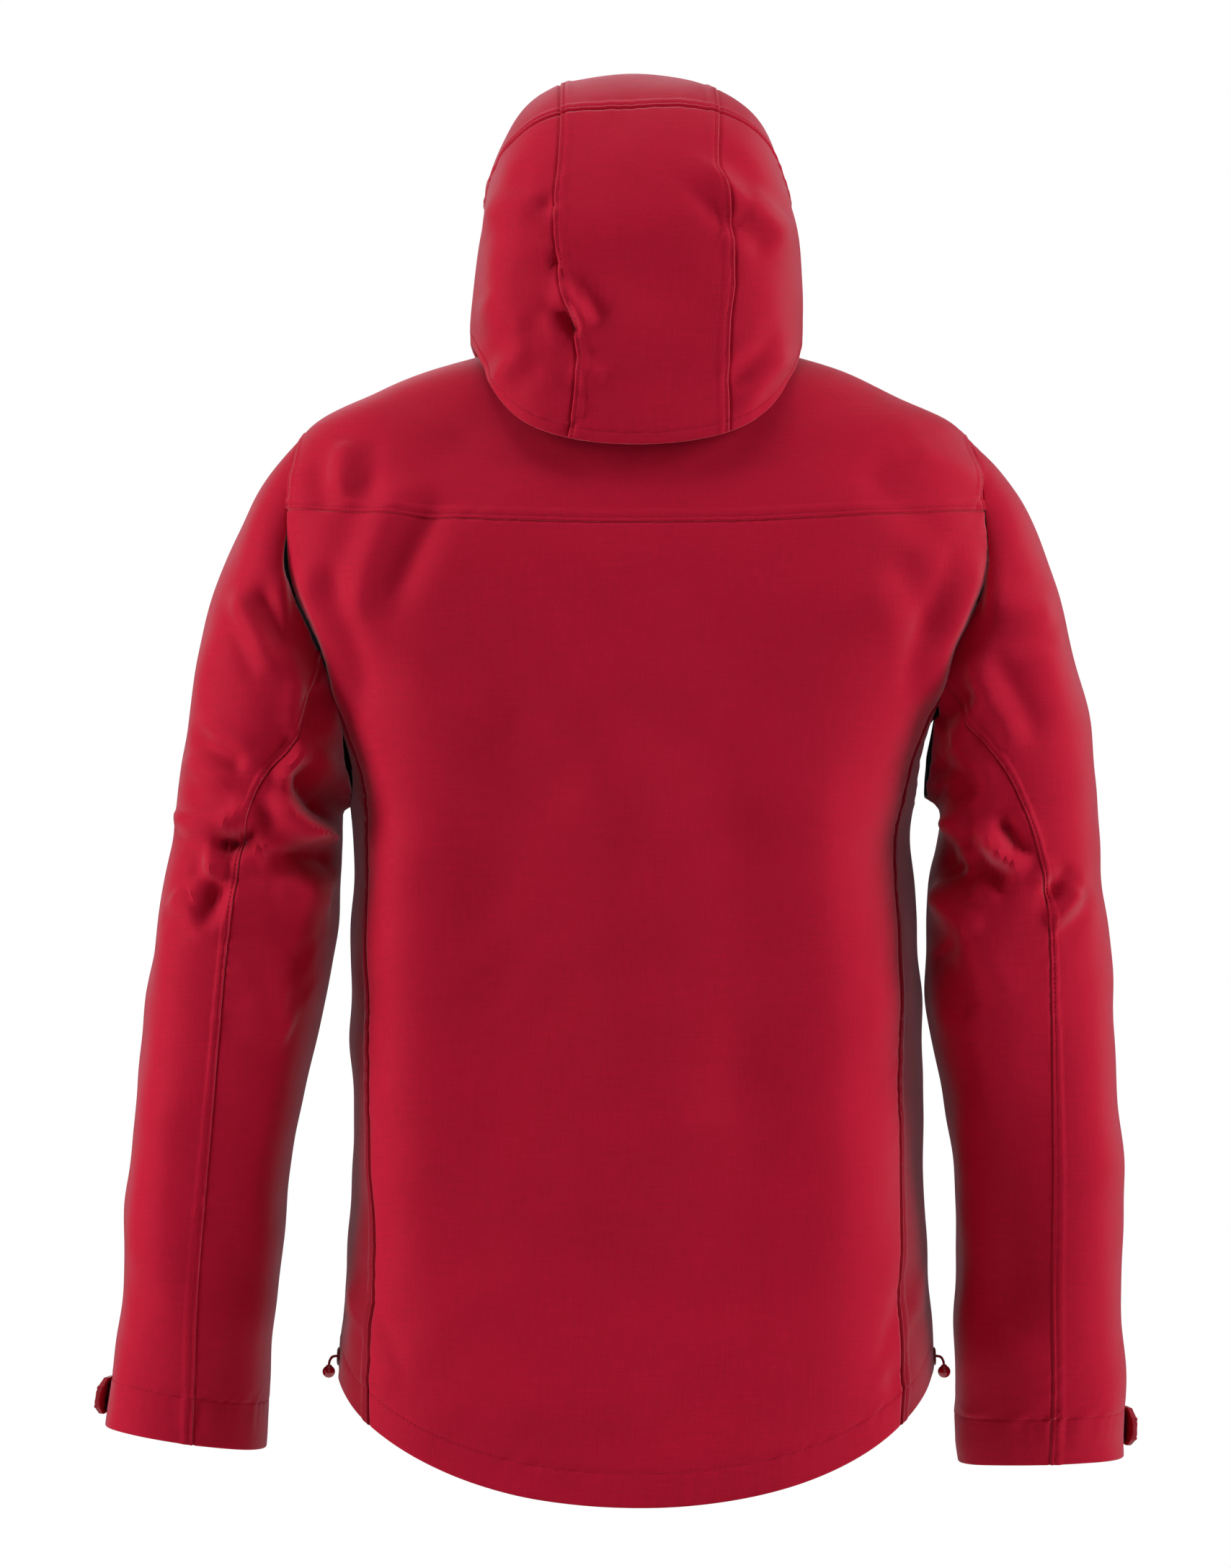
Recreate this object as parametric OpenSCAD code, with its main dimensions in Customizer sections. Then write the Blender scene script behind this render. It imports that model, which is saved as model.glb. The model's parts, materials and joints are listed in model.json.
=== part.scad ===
// Hooded shell jacket, hanging as it is worn. Millimetres.
// Origin: the centre of the back neck seam. +Z up, the front faces -Y, +X is the wearer's left.

/* [Body] */
// Back length, nape to the lowest point of the tail
back_len = 769; // [600:1:900]
// Chest width below the armholes
chest_w = 392; // [320:1:520]
// Width at the hem
hem_w = 416; // [330:1:540]
// Width between the shoulder points
shoulder_w = 460; // [390:1:560]
// How far the back stands behind the nape at the shoulder blades
blade_out = 49; // [30:1:70]
// Distance from the nape to the front zip at the hem
front_out = 215; // [175:1:260]
// Distance from the nape to the front zip at the chin
chin_out = 165; // [150:1:190]
// Half width of the neck seam
neck_r = 96; // [86:1:110]
// How far the tail drops below the side hem
tail_drop = 89; // [40:1:120]

/* [Sleeves] */
// Length of the sleeve below the armpit
sleeve_len = 450; // [360:1:560]
// Height of the turned hem inside the cuff
cuff_hem = 34; // [20:1:50]
// Length of the cuff tab round the cuff
tab_len = 72; // [50:1:90]
// Width of the cuff tab
tab_w = 27; // [18:1:34]

/* [Hood] */
// Height of the crown above the nape
hood_h = 217; // [190:1:250]
// Half width of the hood
hood_r = 113; // [108:1:130]
// How far the hood stands behind the nape
hood_out = 46; // [40:1:70]
// Height of the collar at the back
collar_h = 60; // [40:1:75]

/* [Cloth] */
// Thickness of the shell cloth as modelled
shell_t = 1.6; // [1:0.1:2.2]
// Thickness of tapes, facings and linings
facing_t = 1.0; // [0.6:0.1:1.4]
// Clearance between neighbouring panels
seam_gap = 0.4; // [0.3:0.1:0.8]
// Width of the seam tapes
seam_tape_w = 20; // [12:1:26]

/* [Zips] */
// Width of one zip coil
coil_w = 2.6; // [2:0.1:3.4]
// Thickness of a zip coil
coil_t = 2.4; // [1.8:0.1:3]
// Slot between the coils for the slider's web
web_slot = 1.2; // [1:0.1:1.6]
// Width of one zip tape beside its coil
tape_w = 9; // [6:1:10]
// Length of the front zip's slider
slider_l = 14; // [11:0.5:18]
// Thickness of a slider's plates
plate_t = 1.1; // [0.8:0.1:1.5]
// Radius of the pin that a puller turns on
pin_r = 0.8; // [0.6:0.1:1]
// Length of the front zip's puller
puller_l = 30; // [20:1:40]
// Length of a hand pocket's zip
pocket_l = 170; // [120:1:190]

/* [Hem cord] */
// Diameter of the hem elastic
elastic_d = 2.6; // [2:0.1:3]
// Height of the hem channel
hem_h = 24; // [18:1:34]
// Radius of a cord lock's barrel
lock_r = 5; // [4:0.5:6]
// Length of a cord lock's barrel
lock_l = 13; // [10:0.5:16]
// Travel of a cord lock's button
press = 2.5; // [1.5:0.5:3]
// Radius of the pull ball on a cord loop
ball_r = 4.4; // [3.5:0.1:5.5]
// Radius of the cord that the ball hangs on
loop_cord_r = 1.1; // [0.8:0.1:1.3]

/* [Hidden] */

LEFT = 1;
RIGHT = -1;
running_fit = 0.08;
clear = 0.3;
// Room for the flats of one curved sheet inside another
facet_slack = 0.9;
$fn = 40;

// Scales that tie the body's stations to the driving lengths
kz = back_len / 769;
ky = blade_out / 49;
side_z = tail_drop - back_len;
chin_z = 30 * kz;
front_hem_z = side_z - 10 * kz;
zip_slope = (front_out - chin_out) / (chin_z - front_hem_z);
zip_tilt = atan(zip_slope);

// Angles round the body: 0 is the centre front, 90 the side, 180 the centre back
side_seam_hem = 34;
side_seam_top = 23;
armhole_turn = 27;
armhole_u = 6;
armhole_h = 2;
shoulder_seam = 76;
yoke_u = 6.85;
neck_u = 11;
deg_gap = seam_gap / (chest_w / 2) * 180 / PI;
u_gap = seam_gap / 70;

function zip_y(z) = -chin_out - (chin_z - z) * zip_slope;

// One body ring: half width, back y, back z, side z, front z, squareness
TORSO = [
    [hem_w / 2, 30 * ky, -back_len, side_z, front_hem_z, 0.045],
    [(hem_w + chest_w) / 4 + 1, 25 * ky, -610 * kz, -565 * kz, -575 * kz, 0.045],
    [chest_w / 2 + 3, 28 * ky, -480 * kz, -455 * kz, -465 * kz, 0.045],
    [chest_w / 2, 38 * ky, -355 * kz, -350 * kz, -360 * kz, 0.045],
    [chest_w / 2 + 2, 44 * ky, -290 * kz, -290 * kz, -310 * kz, 0.045],
    [chest_w / 2 + 26, blade_out, -210 * kz, -210 * kz, -250 * kz, 0.045],
    [shoulder_w / 2 + 28, blade_out, -145 * kz, -145 * kz, -200 * kz, 0.045],
    [shoulder_w / 2 + 22, 42 * ky, -92 * kz, -88 * kz, -155 * kz, 0.045],
    [shoulder_w / 2, 27 * ky, -52 * kz, -36 * kz, -118 * kz, 0.04],
    [shoulder_w / 2 - 45, 15 * ky, -28 * kz, -12 * kz, -92 * kz, 0.035],
    [(shoulder_w / 2 + neck_r) / 2 - 18, 6 * ky, -12 * kz, 6 * kz, -72 * kz, 0.03],
    [neck_r, 0, 0, 20 * kz, -55 * kz, 0.025]];

// The collar's rings, from the neck seam to the top edge
COLLAR = [
    [neck_r, 0, 0, 20 * kz, -55 * kz, 0.025],
    [neck_r - 3, -2, collar_h / 2, 22 * kz + collar_h / 2, -12 * kz, 0.025],
    [neck_r - 6, -4, collar_h, 18 * kz + collar_h, chin_z, 0.025]];

// Sleeve rings: inner x and z, outer x and z, middle y, half depth. x is from the shoulder point,
// z from the armpit, both along the arm.
arm_x = max(shoulder_w / 2, chest_w / 2 + 34);
arm_z = -290 * kz;
ks = sleeve_len / 450;
ARM_LEFT = [
    [-25, -6, 38, 207 * kz, -66, 76], [-24, -15, 66, 130 * kz, -67, 80],
    [-24, -32, 84, 36 * kz, -69, 80], [-23, -62 * ks, 97, -55 * ks, -71, 78],
    [-12, -140 * ks, 108, -128 * ks, -73, 72], [5, -235 * ks, 118, -222 * ks, -78, 65],
    [20, -335 * ks, 128, -322 * ks, -88, 58], [28, -402 * ks, 138, -388 * ks, -96, 52],
    [32, -sleeve_len - 2, 143, 14 - sleeve_len, -102, 47]];
ARM_RIGHT = [
    [-25, -6, 40, 207 * kz, -66, 76], [-24, -15, 68, 130 * kz, -67, 80],
    [-26, -32, 84, 36 * kz, -69, 80], [-29, -62 * ks, 94, -58 * ks, -71, 78],
    [-27, -145 * ks, 100, -140 * ks, -73, 72], [-12, -238 * ks, 106, -232 * ks, -78, 65],
    [-9, -335 * ks, 108, -332 * ks, -88, 58], [-7, -410 * ks, 109, -408 * ks, -96, 52],
    [-4, -sleeve_len - 12, 109, -sleeve_len - 8, -102, 47]];
cuff_u = len(ARM_LEFT);

// Hood arches, from the lower edge to the brim: back y and z, half width, side y and z,
// face edge x, y and z, and how round the drop from side to back is
HOOD = [
    [hood_out - 2, -47, hood_r + 1, -62, 27, 40, -chin_out - 12, -28, 2],
    [hood_out - 1, 10, hood_r + 1, -66, 42, 42, -chin_out - 17, 12, 1.6],
    [hood_out, hood_h - 155, hood_r, -72, 70, 50, -chin_out - 24, 46, 1.2],
    [hood_out - 6, hood_h - 100, hood_r - 2, -80, hood_h - 121, 63, -chin_out - 30, 78, 1.2],
    [hood_out - 26, hood_h - 55, hood_r - 6, -90, hood_h - 99, 74, -chin_out - 33, 103, 1.6],
    [hood_out - 66, hood_h - 17, hood_r - 8, -105, hood_h - 83, 80, -chin_out - 35, 122, 2.1],
    [hood_out - 122, hood_h, hood_r - 10, -128, hood_h - 72, 85, -chin_out - 36, 136, 2.4],
    [hood_out - 188, hood_h - 8, hood_r - 13, -160, hood_h - 65, 87, -chin_out - 37, 146, 2.4],
    [hood_out - 252, hood_h - 34, hood_r - 18, -190, hood_h - 61, 89, -chin_out - 38, 153, 2]];
crown_u = 4.65;
brim_u = len(HOOD) - 1;
seam_s = 0.19;
side_s = 0.62;

function spread(a, b, n) = [for (i = [0:n]) a + (b - a) * i / n];
function flat(rows) = [for (row = rows) for (p = row) p];
function unit(v) = v / norm(v);
function mix(a, b, t) = a + (b - a) * t;
function spline(a, b, c, d, t) =
    (2 * b + (c - a) * t + (2 * a - 5 * b + 4 * c - d) * t * t + (3 * b - a - 3 * c + d) * t * t * t) / 2;
function along(list, u) =
    let (n = len(list) - 1, i = max(0, min(floor(u), n - 1)))
    spline(list[max(i - 1, 0)], list[i], list[i + 1], list[min(i + 2, n)], u - i);

// Rounded box section: across and fore-and-aft shares at an angle, with squareness k
function across(a, k) = (sin(a) + k * sin(3 * a)) / (1 - k);
function fore(a, k) = (cos(a) - k * cos(3 * a)) / (1 - k);
function ring(st, a) =
    let (yf = zip_y(st[4]), c = cos(a), mid = (st[2] + st[4]) / 2)
    [st[0] * across(a, st[5]), (st[1] + yf) / 2 - (st[1] - yf) / 2 * fore(a, st[5]),
     mid - (st[2] - st[4]) / 2 * c + (st[3] - mid) * sin(a) * sin(a)];

torso = function (a, u) ring(along(TORSO, u), a);
collar = function (a, u) ring(along(COLLAR, u), a);

// The armhole is an ellipse in angle and station, with its top at the shoulder point
function armhole(side, ph) =
    let (p = torso(90 - armhole_turn * sin(ph), armhole_u + armhole_h * cos(ph))) [side * p[0], p[1], p[2]];
function armhole_edge(u) =
    let (t = (u - armhole_u) / armhole_h) armhole_turn * sqrt(max(0, 1 - t * t));
function side_seam(u) = mix(side_seam_hem, side_seam_top, min(u, 4) / 4);
seam_top_u = armhole_u - armhole_h * sqrt(1 - pow(side_seam_top / armhole_turn, 2));
function edge_turn(u) = u < seam_top_u ? side_seam(u) : armhole_edge(u);

function arm_ring(side, st, ph) =
    let (xi = arm_x + st[0], xo = arm_x + st[2], c = fore(ph, 0.03))
    [side * ((xi + xo) / 2 + (xo - xi) / 2 * c), st[4] - st[5] * across(ph, 0.03),
     arm_z + (st[1] + st[3]) / 2 + (st[3] - st[1]) / 2 * c];
// Angle round the sleeve: 0 outer, 90 front, 180 inner, 270 back; it counts down on the right sleeve
function sleeve(side) = function (a, u)
    along(concat([armhole(side, side * a)],
        [for (st = side == LEFT ? ARM_LEFT : ARM_RIGHT) arm_ring(side, st, side * a)]), u);

// An arch runs from the middle of the back (s = 0) round the side to the face edge (s = 1 or -1)
hood = function (s, u)
    let (h = along(HOOD, u), q = abs(s), back = 90 * min(1, q / side_s),
        front = 90 * max(0, (q - side_s) / (1 - side_s)), g = fore(back, 0.06),
        x = q < side_s ? h[2] * across(back, 0.06) : mix(h[5], h[2], cos(front)))
    [-sign(s) * x, mix(mix(h[3], h[0], g), h[6], sin(front)),
     mix(mix(h[4], h[1], pow(max(0, g), h[8])), h[7], pow(sin(front), 1.7))];

// A point of surface f, moved off along the surface normal
function lift(f, a, b, off) =
    let (e = 0.01) f(a, b) + off * unit(cross(f(a + e, b) - f(a - e, b), f(a, b + e) - f(a, b - e)));

// A closed sheet between two skins of rows x cols points. window = first and last column and row of an
// opening, as indices. loop joins the last column to the first.
module sheet(top, bottom, rows, cols, window = [0, 0, 0, 0], loop = false) {
    n = rows * cols;
    last = loop ? cols - 1 : cols - 2;
    function id(i, j, k) = k * n + i * cols + j % cols;
    function open(i, j) = j >= window[0] && j < window[1] && i >= window[2] && i < window[3];
    function quad(a, b, c, d) = [[a, b, c], [a, c, d]];
    skins = flat([for (i = [0:rows - 2]) for (j = [0:last]) if (!open(i, j)) concat(
        quad(id(i, j, 0), id(i + 1, j, 0), id(i + 1, j + 1, 0), id(i, j + 1, 0)),
        quad(id(i, j, 1), id(i, j + 1, 1), id(i + 1, j + 1, 1), id(i + 1, j, 1)))]);
    function low_wall(i, j) = quad(id(i, j, 1), id(i, j, 0), id(i, j + 1, 0), id(i, j + 1, 1));
    function high_wall(i, j) = quad(id(i, j, 0), id(i, j, 1), id(i, j + 1, 1), id(i, j + 1, 0));
    function first_wall(i, j) = quad(id(i, j, 1), id(i + 1, j, 1), id(i + 1, j, 0), id(i, j, 0));
    function last_wall(i, j) = quad(id(i, j, 0), id(i + 1, j, 0), id(i + 1, j, 1), id(i, j, 1));
    walls = flat(concat(
        [for (j = [0:last]) low_wall(0, j)], [for (j = [0:last]) high_wall(rows - 1, j)],
        loop ? [] : [for (i = [0:rows - 2]) first_wall(i, 0)],
        loop ? [] : [for (i = [0:rows - 2]) last_wall(i, cols - 1)]));
    rim = window[1] == 0 ? [] : flat(concat(
        [for (j = [window[0]:window[1] - 1]) high_wall(window[2], j)],
        [for (j = [window[0]:window[1] - 1]) low_wall(window[3], j)],
        [for (i = [window[2]:window[3] - 1]) last_wall(i, window[0])],
        [for (i = [window[2]:window[3] - 1]) first_wall(i, window[1])]));
    polyhedron(points = concat(top, bottom), faces = concat(skins, walls, rim));
}

// Cloth on surface f: place maps a share across and a share along to the surface's own two values.
// out and inn are the offsets of the two skins; puff adds to both, by share. flip is for a mirrored place.
module cloth(f, place, ss, ts, out, inn, puff = function (s, t) 0, window = [0, 0, 0, 0],
             loop = false, flip = false) {
    skin = function (off) [for (t = ts) for (s = ss)
        let (p = place(s, t)) lift(f, p[0], p[1], off + puff(s, t))];
    sheet(skin(flip ? inn : out), skin(flip ? out : inn), len(ts), len(ss), window, loop);
}

// ---------- body panels ----------
body_red = "crimson";
trim_red = "firebrick";
shade_red = "darkred";
front_from = 2.1;

module back_panel() color(body_red)
    cloth(torso, function (s, t) let (u = mix(0, yoke_u - u_gap, t), e = 90 - edge_turn(u) - deg_gap)
        [180 - e + 2 * e * s, u], spread(0, 1, 16), spread(0, 1, 18), 0, -shell_t);

module back_yoke() color(body_red)
    cloth(torso, function (s, t)
        let (u = mix(yoke_u, neck_u, t), top = armhole_u + armhole_h,
            a0 = u < top ? 90 + armhole_edge(u) : mix(90, shoulder_seam, (u - top) / (neck_u - top)))
        [a0 + deg_gap + (360 - 2 * a0 - 2 * deg_gap) * s, u],
        spread(0, 1, 22), spread(0, 1, 10), 0, -shell_t);

// The side panel's window takes the eyelet of the hem cord
eyelet_turn = 96;
eyelet_half = 1.35;
eyelet_u = 0.12;
eyelet_half_u = 0.043;
module side_panel(side) color(shade_red) {
    share = function (a) (a - 90 + side_seam_hem) / (2 * side_seam_hem);
    top_u = function (s) armhole_u - u_gap
        - armhole_h * sqrt(1 - pow((2 * s - 1) * side_seam_top / armhole_turn, 2));
    cloth(torso, function (s, t)
        let (u = t * top_u(s), turn = (2 * s - 1) * (side_seam(u) - deg_gap))
        [side == LEFT ? 90 + turn : 270 - turn, u],
        concat(spread(0, share(eyelet_turn - eyelet_half), 4),
            spread(share(eyelet_turn + eyelet_half), 1, 4)),
        concat([0, eyelet_u - eyelet_half_u, eyelet_u + eyelet_half_u] / (armhole_u - armhole_h),
            spread(0.14, 1, 9)),
        0, -shell_t, window = [4, 5, 1, 2], flip = side == RIGHT);
}

pocket_s = 0.50;
pocket_half_s = 0.033;
pocket_u0 = 1.15;
pocket_u1 = pocket_u0 + (pocket_l + 12) / (107 * kz);
function front_place(side, s, u) =
    let (top = armhole_u + armhole_h,
        e = u < top ? 90 - edge_turn(u) : mix(90, shoulder_seam, (u - top) / (neck_u - top)),
        a = mix(front_from, e - deg_gap, s))
    [side == LEFT ? a : 360 - a, u];
module front(side) color(body_red) {
    t_of = function (u) u / neck_u;
    cloth(torso, function (s, t) front_place(side, s, neck_u * t),
        concat(spread(0, pocket_s - pocket_half_s, 4), spread(pocket_s + pocket_half_s, 1, 4)),
        concat(spread(0, t_of(pocket_u0), 2), [for (t = spread(t_of(pocket_u0), t_of(pocket_u1), 4)) if
            (t > t_of(pocket_u0)) t], [for (t = spread(t_of(pocket_u1), 1, 13)) if (t > t_of(pocket_u1)) t]),
        0, -shell_t, window = [4, 5, 2, 6], flip = side == RIGHT);
}

module collar_outer() color(body_red)
    cloth(collar, function (s, t) [mix(4.6, 355.4, s), mix(0.02, 2, t)],
        spread(0, 1, 28), spread(0, 1, 5), 0, -shell_t);

module collar_lining() color("dimgray")
    cloth(collar, function (s, t) [mix(19, 341, s), mix(0.06, 1.94, t)],
        spread(0, 1, 26), spread(0, 1, 4), -shell_t - facet_slack, -shell_t - facet_slack - facing_t);

// ---------- hem ----------
lock_turn = 90;
lock_gap_turn = 5;
channel = elastic_d + 2 * clear + 1;
facing_in = shell_t + channel + 2 * clear;
hem_t = hem_h / (115 * kz);
module hem_strip(a0, a1, n)
    cloth(torso, function (s, t) [mix(a0, a1, s), mix(0.015, hem_t, t)], spread(0, 1, n), spread(0, 1, 1),
        -facing_in, -facing_in - facing_t);
module hem_facing() color(shade_red) {
    hem_strip(8.5, lock_turn - lock_gap_turn, 9);
    hem_strip(lock_turn + lock_gap_turn, 270 - lock_gap_turn, 20);
    hem_strip(270 + lock_gap_turn, 351.5, 9);
}

// A round cord through points, swept with n sides
function cross_dir(d) = unit(cross(d, abs(d[2]) < 0.9 ? [0, 0, 1] : [1, 0, 0]));
module cord(path, r, n = 8) {
    m = len(path);
    dirs = [for (i = [0:m - 1]) unit(path[min(i + 1, m - 1)] - path[max(i - 1, 0)])];
    rings = [for (i = [0:m - 1]) let (a = cross_dir(dirs[i]), b = cross(dirs[i], a))
        for (k = [0:n - 1]) path[i] + r * (cos(360 * k / n) * a + sin(360 * k / n) * b)];
    sides = [for (i = [0:m - 2]) for (k = [0:n - 1]) let (l = (k + 1) % n)
        [i * n + k, i * n + l, (i + 1) * n + l, (i + 1) * n + k]];
    tris = flat([for (q = sides) [[q[0], q[2], q[1]], [q[0], q[3], q[2]]]]);
    polyhedron(points = rings, faces = concat(tris, [[for (k = [0:n - 1]) k]],
        [[for (k = [n - 1:-1:0]) (m - 1) * n + k]]));
}
elastic_u = hem_t * 0.45;
function elastic_path(a0, a1, n) = [for (a = spread(a0, a1, n))
    lift(torso, a, elastic_u, -shell_t - channel / 2 - clear)];
module hem_elastic() color("black") {
    cord(elastic_path(9.5, lock_turn - lock_gap_turn, 16), elastic_d / 2);
    cord(elastic_path(lock_turn + lock_gap_turn, 270 - lock_gap_turn, 40), elastic_d / 2);
    cord(elastic_path(270 + lock_gap_turn, 350.5, 16), elastic_d / 2);
}

// ---------- cord locks, eyelets and loops ----------
// Puts children at the side of the body at an angle and station, pushed off, with local x outwards.
// tilted also leans them with the cloth
module at_side(side, a, u, off, tilted = false) {
    turn = side == LEFT ? a : 360 - a;
    p = lift(torso, turn, u, off);
    out = lift(torso, turn, u, 1) - torso(turn, u);
    lean = tilted ? -side * asin(out[2]) : 0;
    translate(p) rotate([0, 0, side * (a - 90)]) rotate([0, lean, 0]) children();
}
lock_u = hem_t * 0.6;
lock_in = shell_t + facet_slack + clear + lock_r;
lock_wall = 1.6;
button_out = 1.5;
module cord_lock(side) color("black")
    at_side(side, lock_turn, lock_u, -lock_in) difference() {
        cylinder(r = lock_r, h = lock_l);
        translate([0, 0, -1]) cylinder(r = lock_r - lock_wall, h = lock_l - 1);
    }
module lock_button(side) color("black")
    at_side(side, lock_turn, lock_u, -lock_in) translate([0, 0, -press - button_out])
        cylinder(r = lock_r - lock_wall - clear, h = lock_l - press - 2);

module eyelet(side) color("dimgray")
    at_side(side, eyelet_turn, eyelet_u, 0, tilted = true)
    rotate([0, side == LEFT ? 90 : -90, 0]) rotate_extrude()
        polygon([[1.4, -shell_t - 0.9], [2.1, -shell_t - 0.9], [2.1, 0.6], [6.4, 0.6], [6.4, 1.1], [5.2, 1.7],
            [1.4, 1.7]]);
module cord_loop(side) color(trim_red) {
    at_side(side, eyelet_turn, eyelet_u, 0, tilted = true) {
        s = side;
        reach = [[0, 0, 0], [3, 0, 0], [5.5, 0, -1], [7, 0.5, -4], [7.2, 1, -7]];
        cord([for (p = reach) [s * p[0], p[1], p[2]]], loop_cord_r);
        translate([s * 7.2, 1, -7 - ball_r + 0.6]) sphere(r = ball_r);
    }
}

// ---------- seam tapes ----------
tape_in = shell_t + facet_slack;
seam_tape_t = 0.4;
module body_seam_tape() color("gray") {
    half_u = seam_tape_w / 2 / (54 * kz);
    half_a = seam_tape_w / chest_w * 180 / PI;
    span = 88 - armhole_turn;
    cloth(torso, function (s, t) [180 + span * (2 * s - 1), yoke_u + half_u * (2 * t - 1)],
        spread(0, 1, 14), [0, 1], -tape_in, -tape_in - seam_tape_t);
    for (side = [90, 270], m = [-1, 1])
        cloth(torso, function (s, t) let (u = mix(hem_t + 0.1, 3.5, t))
            [side + m * side_seam(u) + half_a * (2 * s - 1), u],
            [0, 1], spread(0, 1, 16), -tape_in, -tape_in - seam_tape_t);
}

// ---------- sleeves ----------
sleeve_start = 0.12;
sleeve_gap = seam_gap / 110 * 180 / PI;
front_seam = 95;
// The back seam starts low on the armhole and swings out to the middle of the sleeve at the elbow
BACK_SEAM_LEFT = [246, 250, 254, 272, 276, 275, 271, 268, 263, 261];
BACK_SEAM_RIGHT = [240, 248, 256, 272, 284, 284, 278, 276, 276, 274];
function back_seam(side, u) = along(side == LEFT ? BACK_SEAM_LEFT : BACK_SEAM_RIGHT, u);
module sleeve_panel(side, from, to, n) color(body_red)
    cloth(sleeve(side), function (s, t) let (u = mix(sleeve_start, cuff_u, t))
        [side * mix(from(u) + sleeve_gap / 2, to(u) - sleeve_gap / 2, s), u],
        spread(0, 1, n), concat(spread(0, 0.3, 6), spread(0.38, 1, 8)), 0, -shell_t, flip = side == RIGHT);
module upper_sleeve(side)
    sleeve_panel(side, function (u) back_seam(side, u) - 360, function (u) front_seam, 13);
module under_sleeve(side)
    sleeve_panel(side, function (u) front_seam, function (u) back_seam(side, u), 13);
cuff_hem_u = cuff_hem / 52;
module cuff_facing(side) color(shade_red)
    cloth(sleeve(side), function (s, t) [360 * s, mix(cuff_u - cuff_hem_u, cuff_u - 0.02, t)],
        [for (i = [0:23]) i / 24], [0, 0.5, 1], -shell_t - facet_slack, -shell_t - facet_slack - facing_t,
        loop = true);

// The tab is sewn at its front end and its free end points back round the outer side
tab_u = cuff_u - 0.48;
tab_half_u = tab_w / 2 / 52;
tab_turn = tab_len / 78 * 180 / PI;
tab_end = -6;
loop_out = clear;
hook_out = loop_out + facing_t + clear;
tab_out = hook_out + facing_t + clear;
tab_lift = 5;
tab_t = 1.4;
hook_from = 12;
hook_to = 32;
loop_inset = 9;
module band(side, a0, a1, half, low, high, n, puff = function (s, t) 0)
    cloth(sleeve(side), function (s, t)
        let (r = min(1, 4 * min(s, 1 - s) + 0.55))
        [side * mix(a0, a1, s), tab_u + half * r * (2 * t - 1)], spread(0, 1, n), spread(0, 1, 4), high, low,
        puff = puff, flip = side == RIGHT);
// The tab runs down to the sleeve at its sewn end and stands a little off it at its free end
function tab_stand(s) =
    s > 0.86 ? -(s - 0.86) / 0.14 * (tab_out - clear) : tab_lift * pow(max(0, 1 - s / 0.2), 2);
module cuff_tab(side) color(trim_red)
    band(side, tab_end, tab_end + tab_turn, tab_half_u, tab_out, tab_out + tab_t, 12,
        function (s, t) tab_stand(s));
module tab_hook(side) color("black")
    band(side, tab_end + hook_from, tab_end + hook_to, tab_half_u - 0.06, hook_out, hook_out + facing_t, 5);
module cuff_loop(side) color("dimgray")
    band(side, tab_end + loop_inset, tab_end + tab_turn - loop_inset, tab_half_u - 0.03,
        loop_out, loop_out + facing_t, 7);

// ---------- hood ----------
s_gap = seam_gap / 330;
h_gap = seam_gap / 30;
module hood_panel(s0, s1, u0, u1, n, m) color(body_red)
    cloth(hood, function (s, t) [mix(s0, s1, s), mix(u0, u1, t)],
        spread(0, 1, n), spread(0, 1, m), 0, -shell_t);
module hood_centre() hood_panel(-seam_s + s_gap, seam_s - s_gap, 0, crown_u - h_gap, 8, 12);
module hood_left() hood_panel(-1, -seam_s - s_gap, 0, crown_u - h_gap, 9, 12);
module hood_right() hood_panel(seam_s + s_gap, 1, 0, crown_u - h_gap, 9, 12);
module hood_crown() hood_panel(-1, 1, crown_u + h_gap, brim_u, 24, 9);
brim_t = 2.4;
brim_in = shell_t + facet_slack;
module hood_facing() color(shade_red)
    cloth(hood, function (s, t) [mix(-0.94, 0.94, s), mix(brim_u - 0.75, brim_u - 0.02, t)],
        spread(0, 1, 22), spread(0, 1, 3), -brim_in - brim_t - 2 * clear, -brim_in - brim_t - 2 * clear - facing_t);
module brim_stiffener() color("gray")
    cloth(hood, function (s, t) [mix(-0.6, 0.6, s), mix(brim_u - 0.35, brim_u - 0.05, t)],
        spread(0, 1, 16), spread(0, 1, 2), -brim_in, -brim_in - brim_t);
module hood_seam_tape() color("gray") for (at = [-seam_s, seam_s])
    cloth(hood, function (s, t) [at + 0.035 * (2 * s - 1), mix(1.15, crown_u - 0.3, t)],
        [0, 1], spread(0, 1, 10), -tape_in - clear, -tape_in - clear - seam_tape_t);

// The hood's zip half and neck band go round the collar; the collar's half is sewn at the neck seam
zip_band_h = 9;
zip_band_t = 2;
zip_band_out = facet_slack;
hood_turn = 24;
function hood_end(s) = mix(hood_turn, 360 - hood_turn, s);
collar_zip_u = [0.05, 0.05 + zip_band_h / 30];
hood_zip_u = [collar_zip_u[1] + 0.03, collar_zip_u[1] + 0.03 + zip_band_h / 30];
module zip_band(u, out) color("black")
    cloth(collar, function (s, t) [hood_end(s), mix(u[0], u[1], t)],
        spread(0, 1, 28), [0, 1], out + zip_band_t, out);
module collar_zip() zip_band(collar_zip_u, zip_band_out);
module hood_zip() zip_band(hood_zip_u, zip_band_out + clear);
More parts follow.
